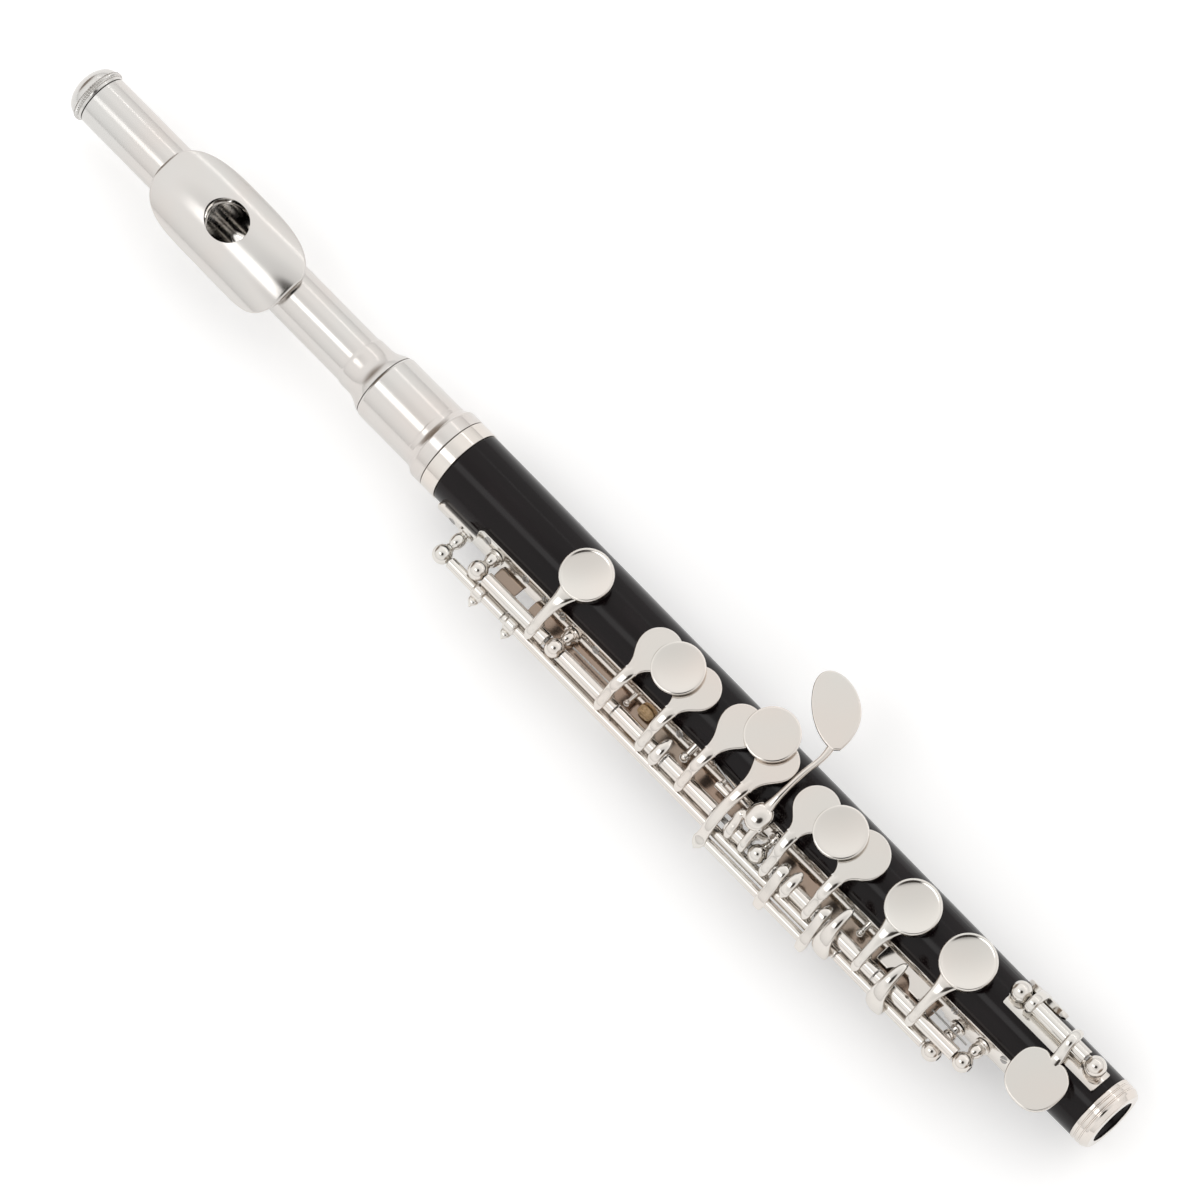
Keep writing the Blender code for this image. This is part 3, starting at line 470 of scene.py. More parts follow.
def loose(name, shape):
    points, faces = shape
    mesh = bpy.data.meshes.new(name)
    mesh.from_pydata([(p - CENTRE) * MM for p in points], [], faces)
    work = bmesh.new()
    work.from_mesh(mesh)
    bmesh.ops.recalc_face_normals(work, faces=work.faces)
    work.to_mesh(mesh)
    work.free()
    obj = bpy.data.objects.new(name, mesh)
    workshop.objects.link(obj)
    return obj


def piece(name, node, look, shape, join=(), cut=(), keep=(), sharp=34):
    """One finished piece on a node's body: a base shape, then shapes joined and cut."""
    obj = loose(name, shape)
    tools = []
    for operation, shapes in (("UNION", join), ("DIFFERENCE", cut), ("INTERSECT", keep)):
        for one in shapes:
            tool = loose("tool", one)
            tools.append(tool)
            step = obj.modifiers.new("step", "BOOLEAN")
            step.operation, step.solver, step.object = operation, "MANIFOLD", tool
    if tools:
        depsgraph = bpy.context.evaluated_depsgraph_get()
        made = bpy.data.meshes.new_from_object(obj.evaluated_get(depsgraph))
        obj.modifiers.clear()
        rough, obj.data = obj.data, made
        bpy.data.meshes.remove(rough)
        for tool in tools:
            bpy.data.meshes.remove(tool.data)
    obj.data.materials.clear()
    obj.data.materials.append(LOOKS[look])
    obj.data.shade_smooth()
    obj.data.set_sharp_from_angle(angle=radians(sharp))
    flat = obj.modifiers.new("even shading", "WEIGHTED_NORMAL")
    flat.keep_sharp = True
    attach(obj, BODY_OF[node])
    return obj


def of_node(node, look, shape, **steps):
    """The finished piece that stands for one CAD node."""
    obj = piece(f"{node}_fine", node, look, shape, **steps)
    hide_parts(node)
    return obj


def polish(obj, inside):
    """Gives the faces whose middle passes a test the smoother finish of a bore, with a much brighter silver
    colour that is painted light inside the bore.
    """
    obj.data.materials.append(LOOKS["bore_painted_light"])
    for face in obj.data.polygons:
        if inside(face.center / MM + CENTRE):
            face.material_index = 1


def on_head(y, z):
    """Turns a head-joint point in towards the rods."""
    return (y * cos(HEAD_TURN) - z * sin(HEAD_TURN), y * sin(HEAD_TURN) + z * cos(HEAD_TURN))


def ray(angle):
    return Vector((0, cos(radians(angle)), sin(radians(angle))))


# ---- head joint ----

def saddle(angle, under=0.0, drop=0.0):
    """A point of the lip plate's oval section: angle from the top, depth under its outside."""
    y = (LIP_WIDE - under) * sin(angle)
    z = LIP_LOW - drop + (LIP_TALL - under) * cos(angle)
    return on_head(y, z)


def lip_plate(stations=90, across=56, edge=0.8):
    """A saddle over the tube with a rolled edge, squarer on the lip side at -Y than on the far side."""
    middle, reach = (LIP_START + LIP_END) / 2, (LIP_END - LIP_START) / 2
    rings = []
    for i in range(stations):
        s = -cos(pi * (i + 0.3) / (stations - 0.4))
        near = (10.8 + 0.1 * s) * (1 - abs(s) ** (8 if s > 0 else 5)) ** (1 / 2.4)
        far = (9.4 - 0.2 * s) * (1 - abs(s) ** 3.2) ** (1 / 2.4)
        low, high = -asin(min(near / LIP_WIDE, 0.97)), asin(min(far / LIP_WIDE, 0.97))
        drop = 1.3 * abs(s) ** 4
        outer, inner = [], []
        for k in range(across + 1):
            share = 0.5 - 0.5 * cos(pi * k / across)
            a = low + (high - low) * share
            gap = min(reach * (1 - abs(s)), (a - low) * LIP_WIDE, (high - a) * LIP_WIDE)
            short = max(0.0, edge - gap)
            roll = edge - sqrt(max(edge * edge - short * short, 0))
            x = middle + reach * s
            outer.append((x, *saddle(a, roll * 0.8, drop)))
            inner.append((x, *saddle(a, LIP_T, drop)))
        rings.append(outer + inner[::-1])
    return rings_to_solid(rings)


def knurl(h0, h1, r, teeth, depth):
    """A ring whose outside is cut into fine ridges."""
    seg = teeth * 6
    rings = []
    for h, share in ((h0, 0.94), (h0 + 0.12, 1), ((h0 + h1) / 2, 1.012), (h1 - 0.12, 1), (h1, 0.94),
                     (h1, 0.86), (h0, 0.86)):
        ring = []
        for k in range(seg):
            a = 2 * pi * k / seg
            groove = depth * (0.5 - 0.5 * cos(teeth * a)) ** 0.7 if share > 0.9 else 0
            size = r * share - groove
            ring.append((h, size * cos(a), size * sin(a)))
        rings.append(ring)
    return rings_to_solid(rings, loop=True)


def build_head():
    tip = CROWN_TIP + 0.6
    dome = [(2.95 - (2.95 - tip) * cos(radians(90) * k / 22), 6.2 * sin(radians(90) * k / 22))
            for k in range(23)]
    skirt = eased([(3.1, 6.2), (3.12, 6.08), (4.25, 6.08), (4.3, 6.15), (4.9, 6.0), (4.9, 5.2), (10.5, 5.2),
                   (10.5, 1.5), (1.2, 1.5), (1.2, 0)], 0.1)
    of_node("crown", "head_silver", turned(dome + skirt, TUBE))
    piece("crown_knurling", "crown", "head_silver", knurl(3.08, 4.27, 6.5, 68, 0.34), sharp=60)
    of_node("stopper_screw", "steel", turned(
        [(4.4, 0), (4.4, 1.2), (26.6, 1.2), (26.6, 5.1), (27.6, 5.1), (27.6, 1.2), (STOPPER_FACE - 1.2, 1.2),
         (STOPPER_FACE - 1.2, 5.2), (STOPPER_FACE, 5.2), (STOPPER_FACE, 0)], ROUND, ease=0.15))
    of_node("stopper_cork", "cork", turned(
        [(27.75, 1.35), (27.75, 5.25), (STOPPER_FACE - 1.35, 5.25), (STOPPER_FACE - 1.35, 1.35)],
        ROUND, loop=True, ease=0.25))
    up = Vector((0, *on_head(0, 1)))
    chimney = turned([(2.0, 1), (8.25, 1), (8.6, 1.012), (9.0, 1.05), (14.0, 1.3)], ROUND * 2, EMBOUCHURE, up,
                     stretch=(5.15, 4.6))
    wide = turned([(2.0, 1), (14.0, 1)], ROUND, EMBOUCHURE, up, stretch=(5.0, 4.5))
    neck = [(COLLAR, HEAD_R), (COLLAR + 0.35, HEAD_R + 0.16), (COLLAR + 0.7, 6.26), (COLLAR + 1.0, 6.29),
            (COLLAR + 1.6, 6.28), (FLARE - 1.2, 6.3), (FLARE - 0.2, 6.42), (FLARE + 0.8, 6.75),
            (FLARE + 1.7, 7.2), (FLARE + 2.4, 7.6), (RECEIVER - 0.25, 7.8), (RECEIVER - 0.15, 7.75)]
    tube = of_node("head_tube", "head_silver", turned(
        [(HEAD_START, HEAD_BORE), (HEAD_START, HEAD_R - 0.08), (HEAD_START + 0.08, HEAD_R)] + neck
        + [(RECEIVER - 0.15, 7.2), (FLARE + 1.3, 6.2), (FLARE, HEAD_BORE)], TUBE, loop=True), cut=[wide])
    # painted light on the inside of the head's bore
    polish(tube, lambda p: Vector((p.y, p.z)).length < HEAD_BORE + 0.1 and p.x < FLARE)
    band("receiver", "head_silver", [
        (RECEIVER, 7.55), (RECEIVER, 7.8), (RECEIVER + 0.5, RECEIVER_R), (107.6, RECEIVER_R),
        (107.7, RECEIVER_R - 0.07), (107.85, RECEIVER_R), (108.9, RECEIVER_R), (109.4, 8.35), (110.1, 8.75),
        (110.3, RING_R - 0.12), (110.6, RING_R), (RECEIVER_END - 0.1, RING_R), (RECEIVER_END, RING_R - 0.1),
        (RECEIVER_END, 7.55)], 0.12)
    outside = drill(20, 72, (0, 0), HEAD_R + 0.06)
    of_node("lip_plate", "head_silver", lip_plate(), cut=[chimney, outside])
    gap = LIP_T + 0.17
    under_plate = [[(x, *saddle(radians(4 * k), gap)) for k in range(90)] for x in (30, 62)]
    wall = turned([(3.0, 1), (9.9, 1)], ROUND, EMBOUCHURE, up, stretch=(5.9, 5.3))
    riser = of_node("embouchure_riser", "head_silver", wall, cut=[chimney, outside],
                    keep=[rings_to_solid(under_plate)])
    # painted light on the riser's inner wall
    polish(riser, lambda p: Vector((p.x - EMBOUCHURE.x, p.y)).length < 5.3)


# ---- body ----

def band(node, look, profile, ease, **steps):
    """A piece that is a closed ring round the bore."""
    of_node(node, look, turned(profile, TUBE, loop=True, ease=ease), **steps)



# the tone hole under each pad: its radius, and its angle where it isn't on top
HOLES_TOP = (("c_pad", 2.9), ("bflat_cup_pad", 2.9), ("a_pad", 2.9), ("g_pad", 2.7), ("lower_g_pad", 2.7),
             ("fsharp_cup_pad", 2.9), ("f_pad", 3.1), ("e_pad", 3.3), ("d_pad", 3.3))
HOLES_ROUND = (("dsharp_trill_pad", TRILL_ANGLE, 1.9), ("d_trill_pad", TRILL_ANGLE, 1.9),
               ("thumb_b_pad", 272, 2.7), ("gsharp_pad", GSHARP_ANGLE, 2.2))


def build_body():
    seats, bores, holes = [], [], []
    for pad, r in HOLES_TOP:
        holes.append(((*cup_of(pad)[:2], 0), UP, r, 1.0))
    holes += [((middle_x(pad), 0, 0), ray(angle), r, 0.9) for pad, angle, r in HOLES_ROUND]
    for at, axis, r, wall in holes:
        seats.append(peg(at, axis, 5.6, radius_at(at[0]) + 0.1, r + wall))
        bores.append(peg(at, axis, 0, 12, r))
    for start, r in ((0, 3.0), (DSHARP_SEAT, DSHARP_FACE_R)):
        bores.append(peg((DSHARP_X, 0, 0), ray(DSHARP_ANGLE), start, 12, r, ROUND))
    band("body_tube", "resin", [
        (TENON_START, 5.4), (TENON_START, TENON_R), (RING_START - 2.2, TENON_R), (RING_START - 2.2, 7.4),
        (RESIN_START - 0.1, 7.4), (RESIN_START - 0.1, RESIN_R0 - 0.1), (RESIN_START + 0.2, RESIN_R0),
        (FOOT_START - 0.1, RESIN_R1), (FOOT_START - 0.1, 6.6), (FOOT_END - 0.5, 6.6), (FOOT_END - 0.5, 5.3),
        (FOOT_END - 2.5, 4.75), (RESIN_START, 5.3)], 0.12, join=seats, cut=bores)
    band("tenon_cork", "cork", [
        (TENON_START + 1.5, TENON_R + 0.1), (TENON_START + 1.5, CORK_R), (RING_START - 2.5, CORK_R),
        (RING_START - 2.5, TENON_R + 0.1)], 0.3)
    band("body_ring", "key_silver", [
        (RING_START, 7.5), (RING_START, RING_R), (RESIN_START - 0.15, RING_R),
        (RESIN_START - 0.15, 7.5)], 0.16)
    edge = top_of("foot_ring")
    band("foot_ring", "key_silver", [
        (FOOT_START, 6.7), (FOOT_START, edge - 0.1), (FOOT_START + 0.15, edge), (306.75, edge),
        (306.85, edge - 0.22), (307.1, edge - 0.22), (307.2, edge - 0.02), (308.0, edge - 0.02),
        (308.1, edge - 0.24), (308.35, edge - 0.24), (308.45, edge - 0.05), (309.0, edge - 0.12),
        (309.5, edge - 0.42), (FOOT_END - 0.15, 7.35), (FOOT_END, 7.1), (FOOT_END, 5.35),
        (FOOT_END - 0.4, 5.35), (FOOT_END - 0.4, 6.7)], 0.1)


def strap(x0, x1, from_deg, to_deg, height=1.2, steps=18, stations=24, end=1.3):
    """A bar that lies on the tapered body between two angles, with rounded ends and broken edges."""
    middle, half = (from_deg + to_deg) / 2, (to_deg - from_deg) / 2
    xs = [(x0 + end * (1 - cos(a)), 0.5 + 0.5 * sin(a), 0.22 * (1 - sin(min(a * 3, pi / 2))))
          for a in (radians(90) * k / 8 for k in range(9))]
    ends = [(x1 - (x - x0), share, low) for x, share, low in xs]
    xs += [(x0 + (x1 - x0) * k / stations, 1, 0) for k in range(1, stations)
           if x0 + end < x0 + (x1 - x0) * k / stations < x1 - end]
    xs += ends[::-1]
    rings = []
    for x, share, low in xs:
        inner, outer = radius_at(x) + 0.05, radius_at(x) + height - low
        angles = [middle + half * share * (2 * k / steps - 1) for k in range(steps + 1)]
        edge = degrees(0.14 / outer)
        top = [(angles[0], outer - 0.16), (angles[0] + edge * 0.3, outer - 0.04)]
        top += [(a, outer) for a in angles[1:-1]]
        top += [(angles[-1] - edge * 0.3, outer - 0.04), (angles[-1], outer - 0.16)]
        lower = [(a, inner) for a in angles[::-1]]
        rings.append([(x, *(ray(a) * r).yz) for a, r in top + lower])
    return rings_to_solid(rings)


# a post's stem, as (distance below the ball's middle, radius)
ONE_BULB = ((5.9, 1.2), (5.2, 1.5), (4.2, 1.62), (3.3, 1.45), (2.6, 1.05))
TWO_BULBS = ((4.97, 1.35), (4.5, 1.27), (4.05, 0.95), (3.75, 0.68), (3.5, 0.76), (3.25, 0.84), (2.9, 0.78))


def post(x, line, foot_r, ball_r=BALL_R, bulbs=ONE_BULB):
    """A ball-headed post: round foot, stem, a tight neck and the ball, pointing out from the bore."""
    out = Vector((0, *line))
    length = out.length
    out.normalize()
    lift = length - foot_r
    stem = [(lift - d, r) for d, r in bulbs if lift - d > 0.6]
    smooth = [(p.x, p.y) for p in smooth_path([(0.45, 1.95), (0.5, 1.6)] + stem, 5)]
    profile = [(0, 0), (0, 1.95)] + smooth + [(lift - 2.45, 0.98), (lift - 2.3, 1.0), (lift - 2.15, 1.12)]
    turns = 26
    for k in range(1, turns + 1):
        a = 0.56 + (pi - 0.56) * (k - 1) / (turns - 1)
        profile.append((lift - ball_r * cos(a), ball_r * sin(a) if k < turns else 0))
    return turned(profile, FINE, Vector((x, 0, 0)) + out * foot_r, out)


def screw(name, x, angle, r=0.95, height=1.2, turn=0.5):
    """A slotted screw set into a strap."""
    out = ray(angle)
    base = radius_at(x) + height
    across, along = ray(angle + 90), Vector((1, 0, 0))
    lie = along * cos(turn) + across * sin(turn)
    slot_side = out.cross(lie)
    at = Vector((x, 0, 0)) + out * base
    corners = [at + lie * (a * r * 1.2) + slot_side * (b * 0.15) + out * c
               for c in (-0.12, 0.5) for a, b in ((-1, -1), (1, -1), (1, 1), (-1, 1))]
    slot = rings_to_solid([corners[:4], corners[4:]])
    head = [(-0.3, 0), (-0.3, r), (-0.02, r), (0.05, r - 0.1), (0.09, r * 0.5), (0.1, 0)]
    piece(name, "main_rib", "steel", turned(head, FINE, at, out), cut=[slot])


def build_frames():
    rib_cuts = [strap(120.1, 142.0, 164, 187, 1.25), strap(270.6, 279.0, 165, 185, 1.25)]
    of_node("main_rib", "key_silver", strap(131.2, 289.4, 141, 171, stations=60), join=rib_cuts)
    for node, line, foot, style in (
            ("inner_post_1", INNER, 1.22, ()), ("inner_post_2", INNER, 1.22, ()),
            ("inner_post_3", INNER, 1.22, (2.1, TWO_BULBS)), ("inner_post_4", INNER, 1.22, ()),
            ("outer_post_1", OUTER, 1.27, ()), ("outer_post_2", OUTER, 1.27, ())):
        x = middle_x(node)
        of_node(node, "key_silver", post(x, line, radius_at(x) + foot, *style),
                cut=[drill(x - 4, x + 4, line, HOLE_R)])
    for node, line, lies, feet, ball_r, bore in (
            ("dsharp_strap", DSHARP, strap(278.3, 304.2, 55, 92, 1.1, end=0.3), (279.8, 301.3), 2.3,
             (270, 310)),
            ("thumb_strap", THUMB, strap(154.6, 180.2, 200, 216, 1.1), (157.2, 177.6), 1.9, (150, 185))):
        of_node(node, "key_silver", lies, join=[post(x, line, radius_at(x) + 0.6, ball_r) for x in feet],
                cut=[drill(*bore, line, HOLE_R)])
    for name, line in (("steel_left_hand", INNER), ("steel_right_hand", INNER), ("dsharp_steel", DSHARP),
                       ("thumb_steel", THUMB)):
        of_node(name, "steel", rod(start_of(name), end_of(name), line, 0.6))
    for i, (x, angle) in enumerate(((134.0, 147.5), (145.5, 148.5), (156.5, 148.5), (166.5, 148.5),
                                    (191.5, 148.5), (272.3, 148), (286.5, 148))):
        screw(f"rib_screw_{i + 1}", x, angle, turn=0.4 + 0.9 * i)
    screw("rib_screw_8", 124.5, 176, turn=0.6, height=1.25)
    screw("rib_screw_9", 151.5, 148.5, r=0.8, turn=1.1)
    build_flange()


def flat_strip(x0, x1, y0, y1, z0, z1):
    """A flat strip along the bore whose inner edge stands on the body or the rib."""
    return bar([(x, (y0 + y1) / 2, (z0 + z1) / 2, (y0 - y1) / 2, (z1 - z0) / 2)
                for x in (x0, (x0 + x1) / 2, x1)], power=7, side=(0, 1, 0))


def small_post(x, y0, z0, y1, z1, r=0.85, head=1.15):
    """A short turned post for a spring: a stem with a collar and a round head."""
    a, b = Vector((x, y0, z0)), Vector((x, y1, z1))
    length = (b - a).length
    profile = [(0, 0), (0, r * 1.2), (length * 0.3, r), (length * 0.55, r * 0.8)]
    for k in range(9):
        t = 0.75 + (pi - 0.75) * k / 8
        profile.append((length - head * (1 + cos(t)), head * sin(t) if k < 8 else 0))
    return turned(profile, FINE, a, b - a)


def build_flange():
    """The flange between the rib and the rods, dark brown metal that paints the shade in that gap, its pale
    notched plate, and the small spring posts.
    """
    # dark brown strips: painted shade between the rib and the rods
    for i, (x0, x1) in enumerate(((139.5, 145.5), (149.8, 211.5), (223.4, 269.0))):
        piece(f"painted_shade_flange_{i + 1}", "main_rib", "painted_shade_metal", flat_strip(x0, x1, -8.4, -12.1, 1.2, 1.7))
    piece("notched_plate", "main_rib", "key_silver", flat_strip(253.4, 265.7, -7.4, -11.6, 4.2, 4.7),
          cut=[peg((259.5, -12.9, 0), UP, 3.0, 6.0, 3.4)])
    for name, shape in (("spring_post_1", small_post(195.8, -7.4, 5.6, -11.9, 5.0)),
                        ("spring_post_2", small_post(247.3, -7.2, 4.8, -11.2, 4.4, 0.7, 0.9)),
                        ("spring_hook", small_post(179.0, -8.2, 4.0, -12.0, 4.4, 0.6, 0.75))):
        piece(name, "main_rib", "key_silver", shape)
    piece("spring_rest", "main_rib", "key_silver", rod(204.3, 208.4, (-9.9, 5.0), 0.8),
          join=[small_post(205.2, -7.4, 4.6, -10.4, 5.0, 0.7, 0.9)])


# ---- keys ----

def hub(x, line, r=2.1, width=2.2):
    half = width / 2
    return turned([(x - half, r - 0.55), (x - half + 0.1, r - 0.35), (x - half + 0.5, r), (x + half - 0.5, r),
                   (x + half - 0.1, r - 0.35), (x + half, r - 0.55)], FINE, (0, *line), ease=0.2)


def over_arm(x_hub, x_cup, y_cup, z_cup, w0=1.9, w1=1.15, hold=1.0):
    """From the edge of a cup, down and over the inner hinge line to a blunt point outside it."""
    path = [(x_cup, y_cup + 1.6, z_cup, w0, 0.36),
            (x_cup * 0.8 + x_hub * 0.2, y_cup - 1.2, z_cup - 0.15, w0 * hold, 0.5),
            (x_cup * 0.35 + x_hub * 0.65, y_cup - 4.0, z_cup - 1.1, w1 * 1.12, 0.6)]
    path += about(INNER, (x_hub, 1.6, 3.2, w1, 0.7), (x_hub, 0.1, 2.0, w1, 0.75),
                  (x_hub, -1.4, 1.15, w1, 0.7), (x_hub, -2.2, 0.1, w1 * 0.8, 0.55),
                  (x_hub, -2.75, -0.5, w1 * 0.3, 0.25))
    return bar(path, power=2.2)


def skin(node, low, high, r, at, axis=UP, ease=0.25):
    """The skinned pad of a cup, between two distances along the cup's axis."""
    of_node(node, "pad_skin", turned([(low, 0), (low, r), (high, r), (high, 0)], ROUND, at, axis, ease=ease))


def lid(base, r, at, axis, height, under=1.0, bevel=0.3, ease=0.15):
    """A plain cup with a skirt round its pad and a bevelled top edge."""
    return turned([(base + under, 0), (base + under, r - 0.5), (base + 0.2, r - 0.5), (base + 0.2, r),
                   (base + height - bevel + 0.1, r), (base + height, r - bevel), (base + height, 0)],
                  ROUND, at, axis, ease=ease)


def under_pad(node, top):
    x, y, r = cup_of(node)
    base = top - PLATE_T - 0.05
    skin(node, base - PAD_T, base, r - 0.75, (x, y, 0), ease=0.3)


def tear_cup(x, y, r, neck_x):
    """A teardrop cup and its skirt. The first shape is the base of the union."""
    skirt = turned([(PLATE_TOP - 1.75, r - 0.55), (PLATE_TOP - 1.75, r - 0.1), (PLATE_TOP - 0.5, r - 0.1),
                    (PLATE_TOP - 0.5, r - 0.55)], ROUND, (x, y, 0), UP, loop=True, ease=0.1)
    return [plate(teardrop(x, y, r, neck_x), PLATE_TOP - PLATE_T, PLATE_TOP, 0.32), skirt]


def disc(x, y, r, dished, stem):
    """A finger disc standing on a short stem over a cup."""
    rise = 0.3 if dished else 0.0
    face = [(DISC_TOP - rise * (1 - (k / 8) ** 2), (r - 0.5) * k / 8) for k in range(8, 0, -1)]
    rim = [(DISC_TOP - 1.0, 0), (DISC_TOP - 1.0, r - 0.5), (DISC_TOP - 0.85, r - 0.15), (DISC_TOP - 0.6, r),
           (DISC_TOP - 0.35, r), (DISC_TOP - 0.12, r - 0.08), (DISC_TOP, r - 0.28)]
    top = turned(rim + face + [(DISC_TOP - rise, 0)], ROUND, (x, y, 0), UP)
    return [top, peg((*stem, 0), UP, PLATE_TOP - 0.4, DISC_TOP - 0.7, 1.5)]


def pin_hole(x):
    """A cutter for the small pin hole in a hinge tube of the inner line."""
    return peg((x, *INNER), ray(47), 0.9, 3.0, 0.48, 24)


def key(node, line, tube, shapes, cuts=()):
    """A key whose hinge tube runs along a rod."""
    bore = drill(tube[0] - 5, tube[1] + 5, line, HOLE_R)
    of_node(node, "key_silver", rod(*tube, line, ROD_R), join=shapes, cut=[bore] + list(cuts))


def round_key(node, tube, x_hub, top, cuts=()):
    pad = node.replace("_key", "_pad")
    x, y, r = cup_of(pad)
    arm = over_arm(x_hub, x, y - r + 0.2, top - 0.48, 2.9, hold=0.62)
    key(node, INNER, tube, [hub(x_hub, INNER), arm, cup(x, y, r, top, 1.75)], cuts)
    under_pad(pad, top)


def tear_key(node, tube, x_hub, extra=()):
    pad = node.replace("_key", "_pad")
    x, y, r = cup_of(pad)
    neck_x = x * 0.45 + x_hub * 0.55
    arm = over_arm(x_hub, neck_x, -7.2, PLATE_TOP - 0.38, 1.455)
    key(node, INNER, tube, [hub(x_hub, INNER), *tear_cup(x, y, r, neck_x), arm, *extra])
    under_pad(pad, PLATE_TOP)


def clamp(x):
    """A collar with a lug standing up towards the body, where two keys of one hinge line meet."""
    lug = about(INNER, (x, 3.3, 1.9, 0.5, 0.35), (x, 2.4, 1.7, 1.15, 0.75), (x, 0.6, 1.7, 1.35, 0.8),
                (x, -1.4, 1.05, 1.35, 0.7), (x, -2.2, 0.1, 1.0, 0.55), (x, -2.8, -0.4, 0.35, 0.25))
    return [hub(x, INNER, 2.15, 2.6), bar(lug, power=2.3)]


def build_upper_keys():
    """For each key: its hinge tube's ends, where its arm crosses the hinge line, and what it carries."""
    round_key("c_key", (139.7, 158.0), 154.6, 12.0)
    tear_key("bflat_cup_key", (162.8, 178.7), 175.6)
    tear_key("a_key", (179.0, 193.4), 187.8, clamp(191.8) + disc(182.9, -0.1, 5.75, True, (185.6, 0)))
    tear_key("g_key", (193.7, 208.3), 199.6, disc(206.4, 4.1, 6.0, False, (203.0, 2.2)))
    tear_key("fsharp_cup_key", (223.4, 226.1), 224.6)
    tear_key("f_key", (229.5, 238.5), 237.1, clamp(230.7) + disc(231.0, -0.1, 5.8, True, (234.2, 0.2)))
    round_key("e_key", (241.9, 255.9), 251.9, 11.7, [pin_hole(254.9)])
    round_key("d_key", (256.2, 279.1), 267.8, 11.7, [pin_hole(263.9)])


def build_lower_g():
    """The lower G cup reaches its two hinge collars through a bridge outside the outer rod."""
    top = PLATE_TOP - 0.38
    arm = [(210.4, -5.6, top, 1.45, 0.4), (210.3, -8.4, top - 0.15, 1.4, 0.5),
           (210.1, -11.2, top - 1.0, 1.3, 0.6), (210.0, -13.2, top - 2.1, 1.25, 0.65),
           (210.0, -15.6, top - 3.6, 1.25, 0.65), (210.0, -17.6, top - 5.4, 1.25, 0.7)]
    arm += about(BRIDGE, (210.0, 0.2, 1.6, 1.35, 0.8), (210.0, -0.9, 0.4, 1.6, 0.85),
                 (210.0, -1.8, -0.5, 1.15, 0.7), (210.0, -2.4, -1.1, 0.35, 0.3))
    shapes = tear_cup(*cup_of("lower_g_pad"), 210.4)
    shapes += [bar(arm, power=2.3), rod(210.1, 240.1, BRIDGE, BRIDGE_R)]
    for x, w in ((227.9, 1.25), (240.2, 1.2)):
        lug = about(INNER, (x - 0.37, 2.6, 1.6, w * 0.6, 0.4), (x - 0.3, 1.5, 1.9, w, 0.65),
                    (x - 0.2, 0, 1.75, w, 0.7), (x, -1.7, 0.75, w, 0.7))
        lug.append((x, -17.9, 4.35, w, 0.65))
        lug += about(BRIDGE, (x, -0.1, 0.9, w * 1.08, 0.75), (x, -0.9, -0.3, w * 1.08, 0.75),
                     (x, -1.6, -1.1, w * 0.9, 0.65))
        shapes += [hub(x, INNER, 2.1, 2.3), bar(lug, power=3.2)]
    shapes.append(rod(239.0, 241.5, INNER, ROD_R))
    key("lower_g_key", INNER, (226.6, 229.1), shapes, [drill(237, 244, INNER, HOLE_R)])
    under_pad("lower_g_pad", PLATE_TOP)


def gsharp_touch(points=88):
    """Outline of the lever's touch: an egg whose narrow end runs into the lever."""
    middle, along, across = Vector((211.6, 17.0)), Vector((-0.695, 0.719)), Vector((0.719, 0.695))
    outline = []
    for k in range(points):
        a = 2 * pi * (k + 0.5) / points
        c, s = cos(a), sin(a)
        u, w = (0.5 + 8.05 * c, 5.1 * s) if c > 0 else (0.5 + 9.3 * c, 5.1 * s * abs(s) ** 0.6)
        bend = 0.3 - 0.012 * max(u + 4, 0) ** 2
        if u > 0 or abs(w) > 0.6:
            outline.append(tuple(middle + along * u + across * (w + bend)))
    return outline


def build_gsharp():
    lever = bar([(216.2, 12.5, 11.9, 0.9, 0.45), (216.8, 8.0, 11.6, 0.75, 0.6),
                 (216.4, 3.0, 11.5, 0.7, 0.65), (216.4, -3.0, 11.0, 0.8, 0.7),
                 (216.4, -6.0, 10.1, 1.2, 0.8), (216.4, -8.0, 9.2, 1.6, 0.8)], power=2.1)
    bulb = ball((216.3, -9.0, 8.9), 3.0, (1.0, 1.15, 0.62))
    yoke = bar([(212.9, -10.6, 8.9, 0.4, 0.5), (213.2, -11.4, 8.8, 1.0, 0.8)]
               + about(INNER, (213.6, 1.0, 2.3, 1.1, 0.8), (213.8, -0.9, 1.6, 1.05, 0.7),
                       (213.9, -1.8, 0.4, 0.9, 0.6), (214.0, -2.2, -0.4, 0.35, 0.3)))
    bridge = bar([(213.4, -10.9, 8.8, 0.9, 0.75), (214.6, -10.8, 8.9, 0.9, 0.9),
                  (216.5, -10.7, 8.9, 0.9, 0.9), (218.4, -10.8, 8.8, 0.9, 0.7)], power=3, side=(0, 1, 0))
    second = bar([(217.6, -10.9, 8.6, 1.0, 0.8)]
                 + about(INNER, (217.7, 1.1, 2.4, 0.95, 0.75), (217.8, -0.8, 1.6, 0.9, 0.65),
                         (217.9, -1.8, 0.3, 0.8, 0.55), (217.9, -2.2, -0.4, 0.35, 0.3)))
    under = bar(about(INNER, (213.9, 0.2, -1.5, 1.0, 0.5), (214.0, 1.3, -3.4, 1.0, 0.55))
                + [(214.5, -12.4, -0.6, 1.0, 0.55), (215.4, -11.5, -2.8, 1.0, 0.55),
                   (216.0, -10.1, -4.5, 1.1, 0.5), (216.2, -8.6, -6.1, 1.1, 0.5),
                   (216.2, -7.7, -7.0, 0.7, 0.35)])
    up, where = radius_at(216) + 0.1, ((216.2, 0, 0), ray(GSHARP_ANGLE))
    key("gsharp_key", INNER, (212.2, 218.4),
        [hub(213.9, INNER), hub(217.8, INNER, 2.05, 1.9), plate(gsharp_touch(), 11.5, 12.4, 0.36), lever,
         bulb, yoke, bridge, second, under, lid(up, 3.7, *where, 1.9)])
    skin("gsharp_pad", up + 0.05, up + 0.95, 3.05, *where)


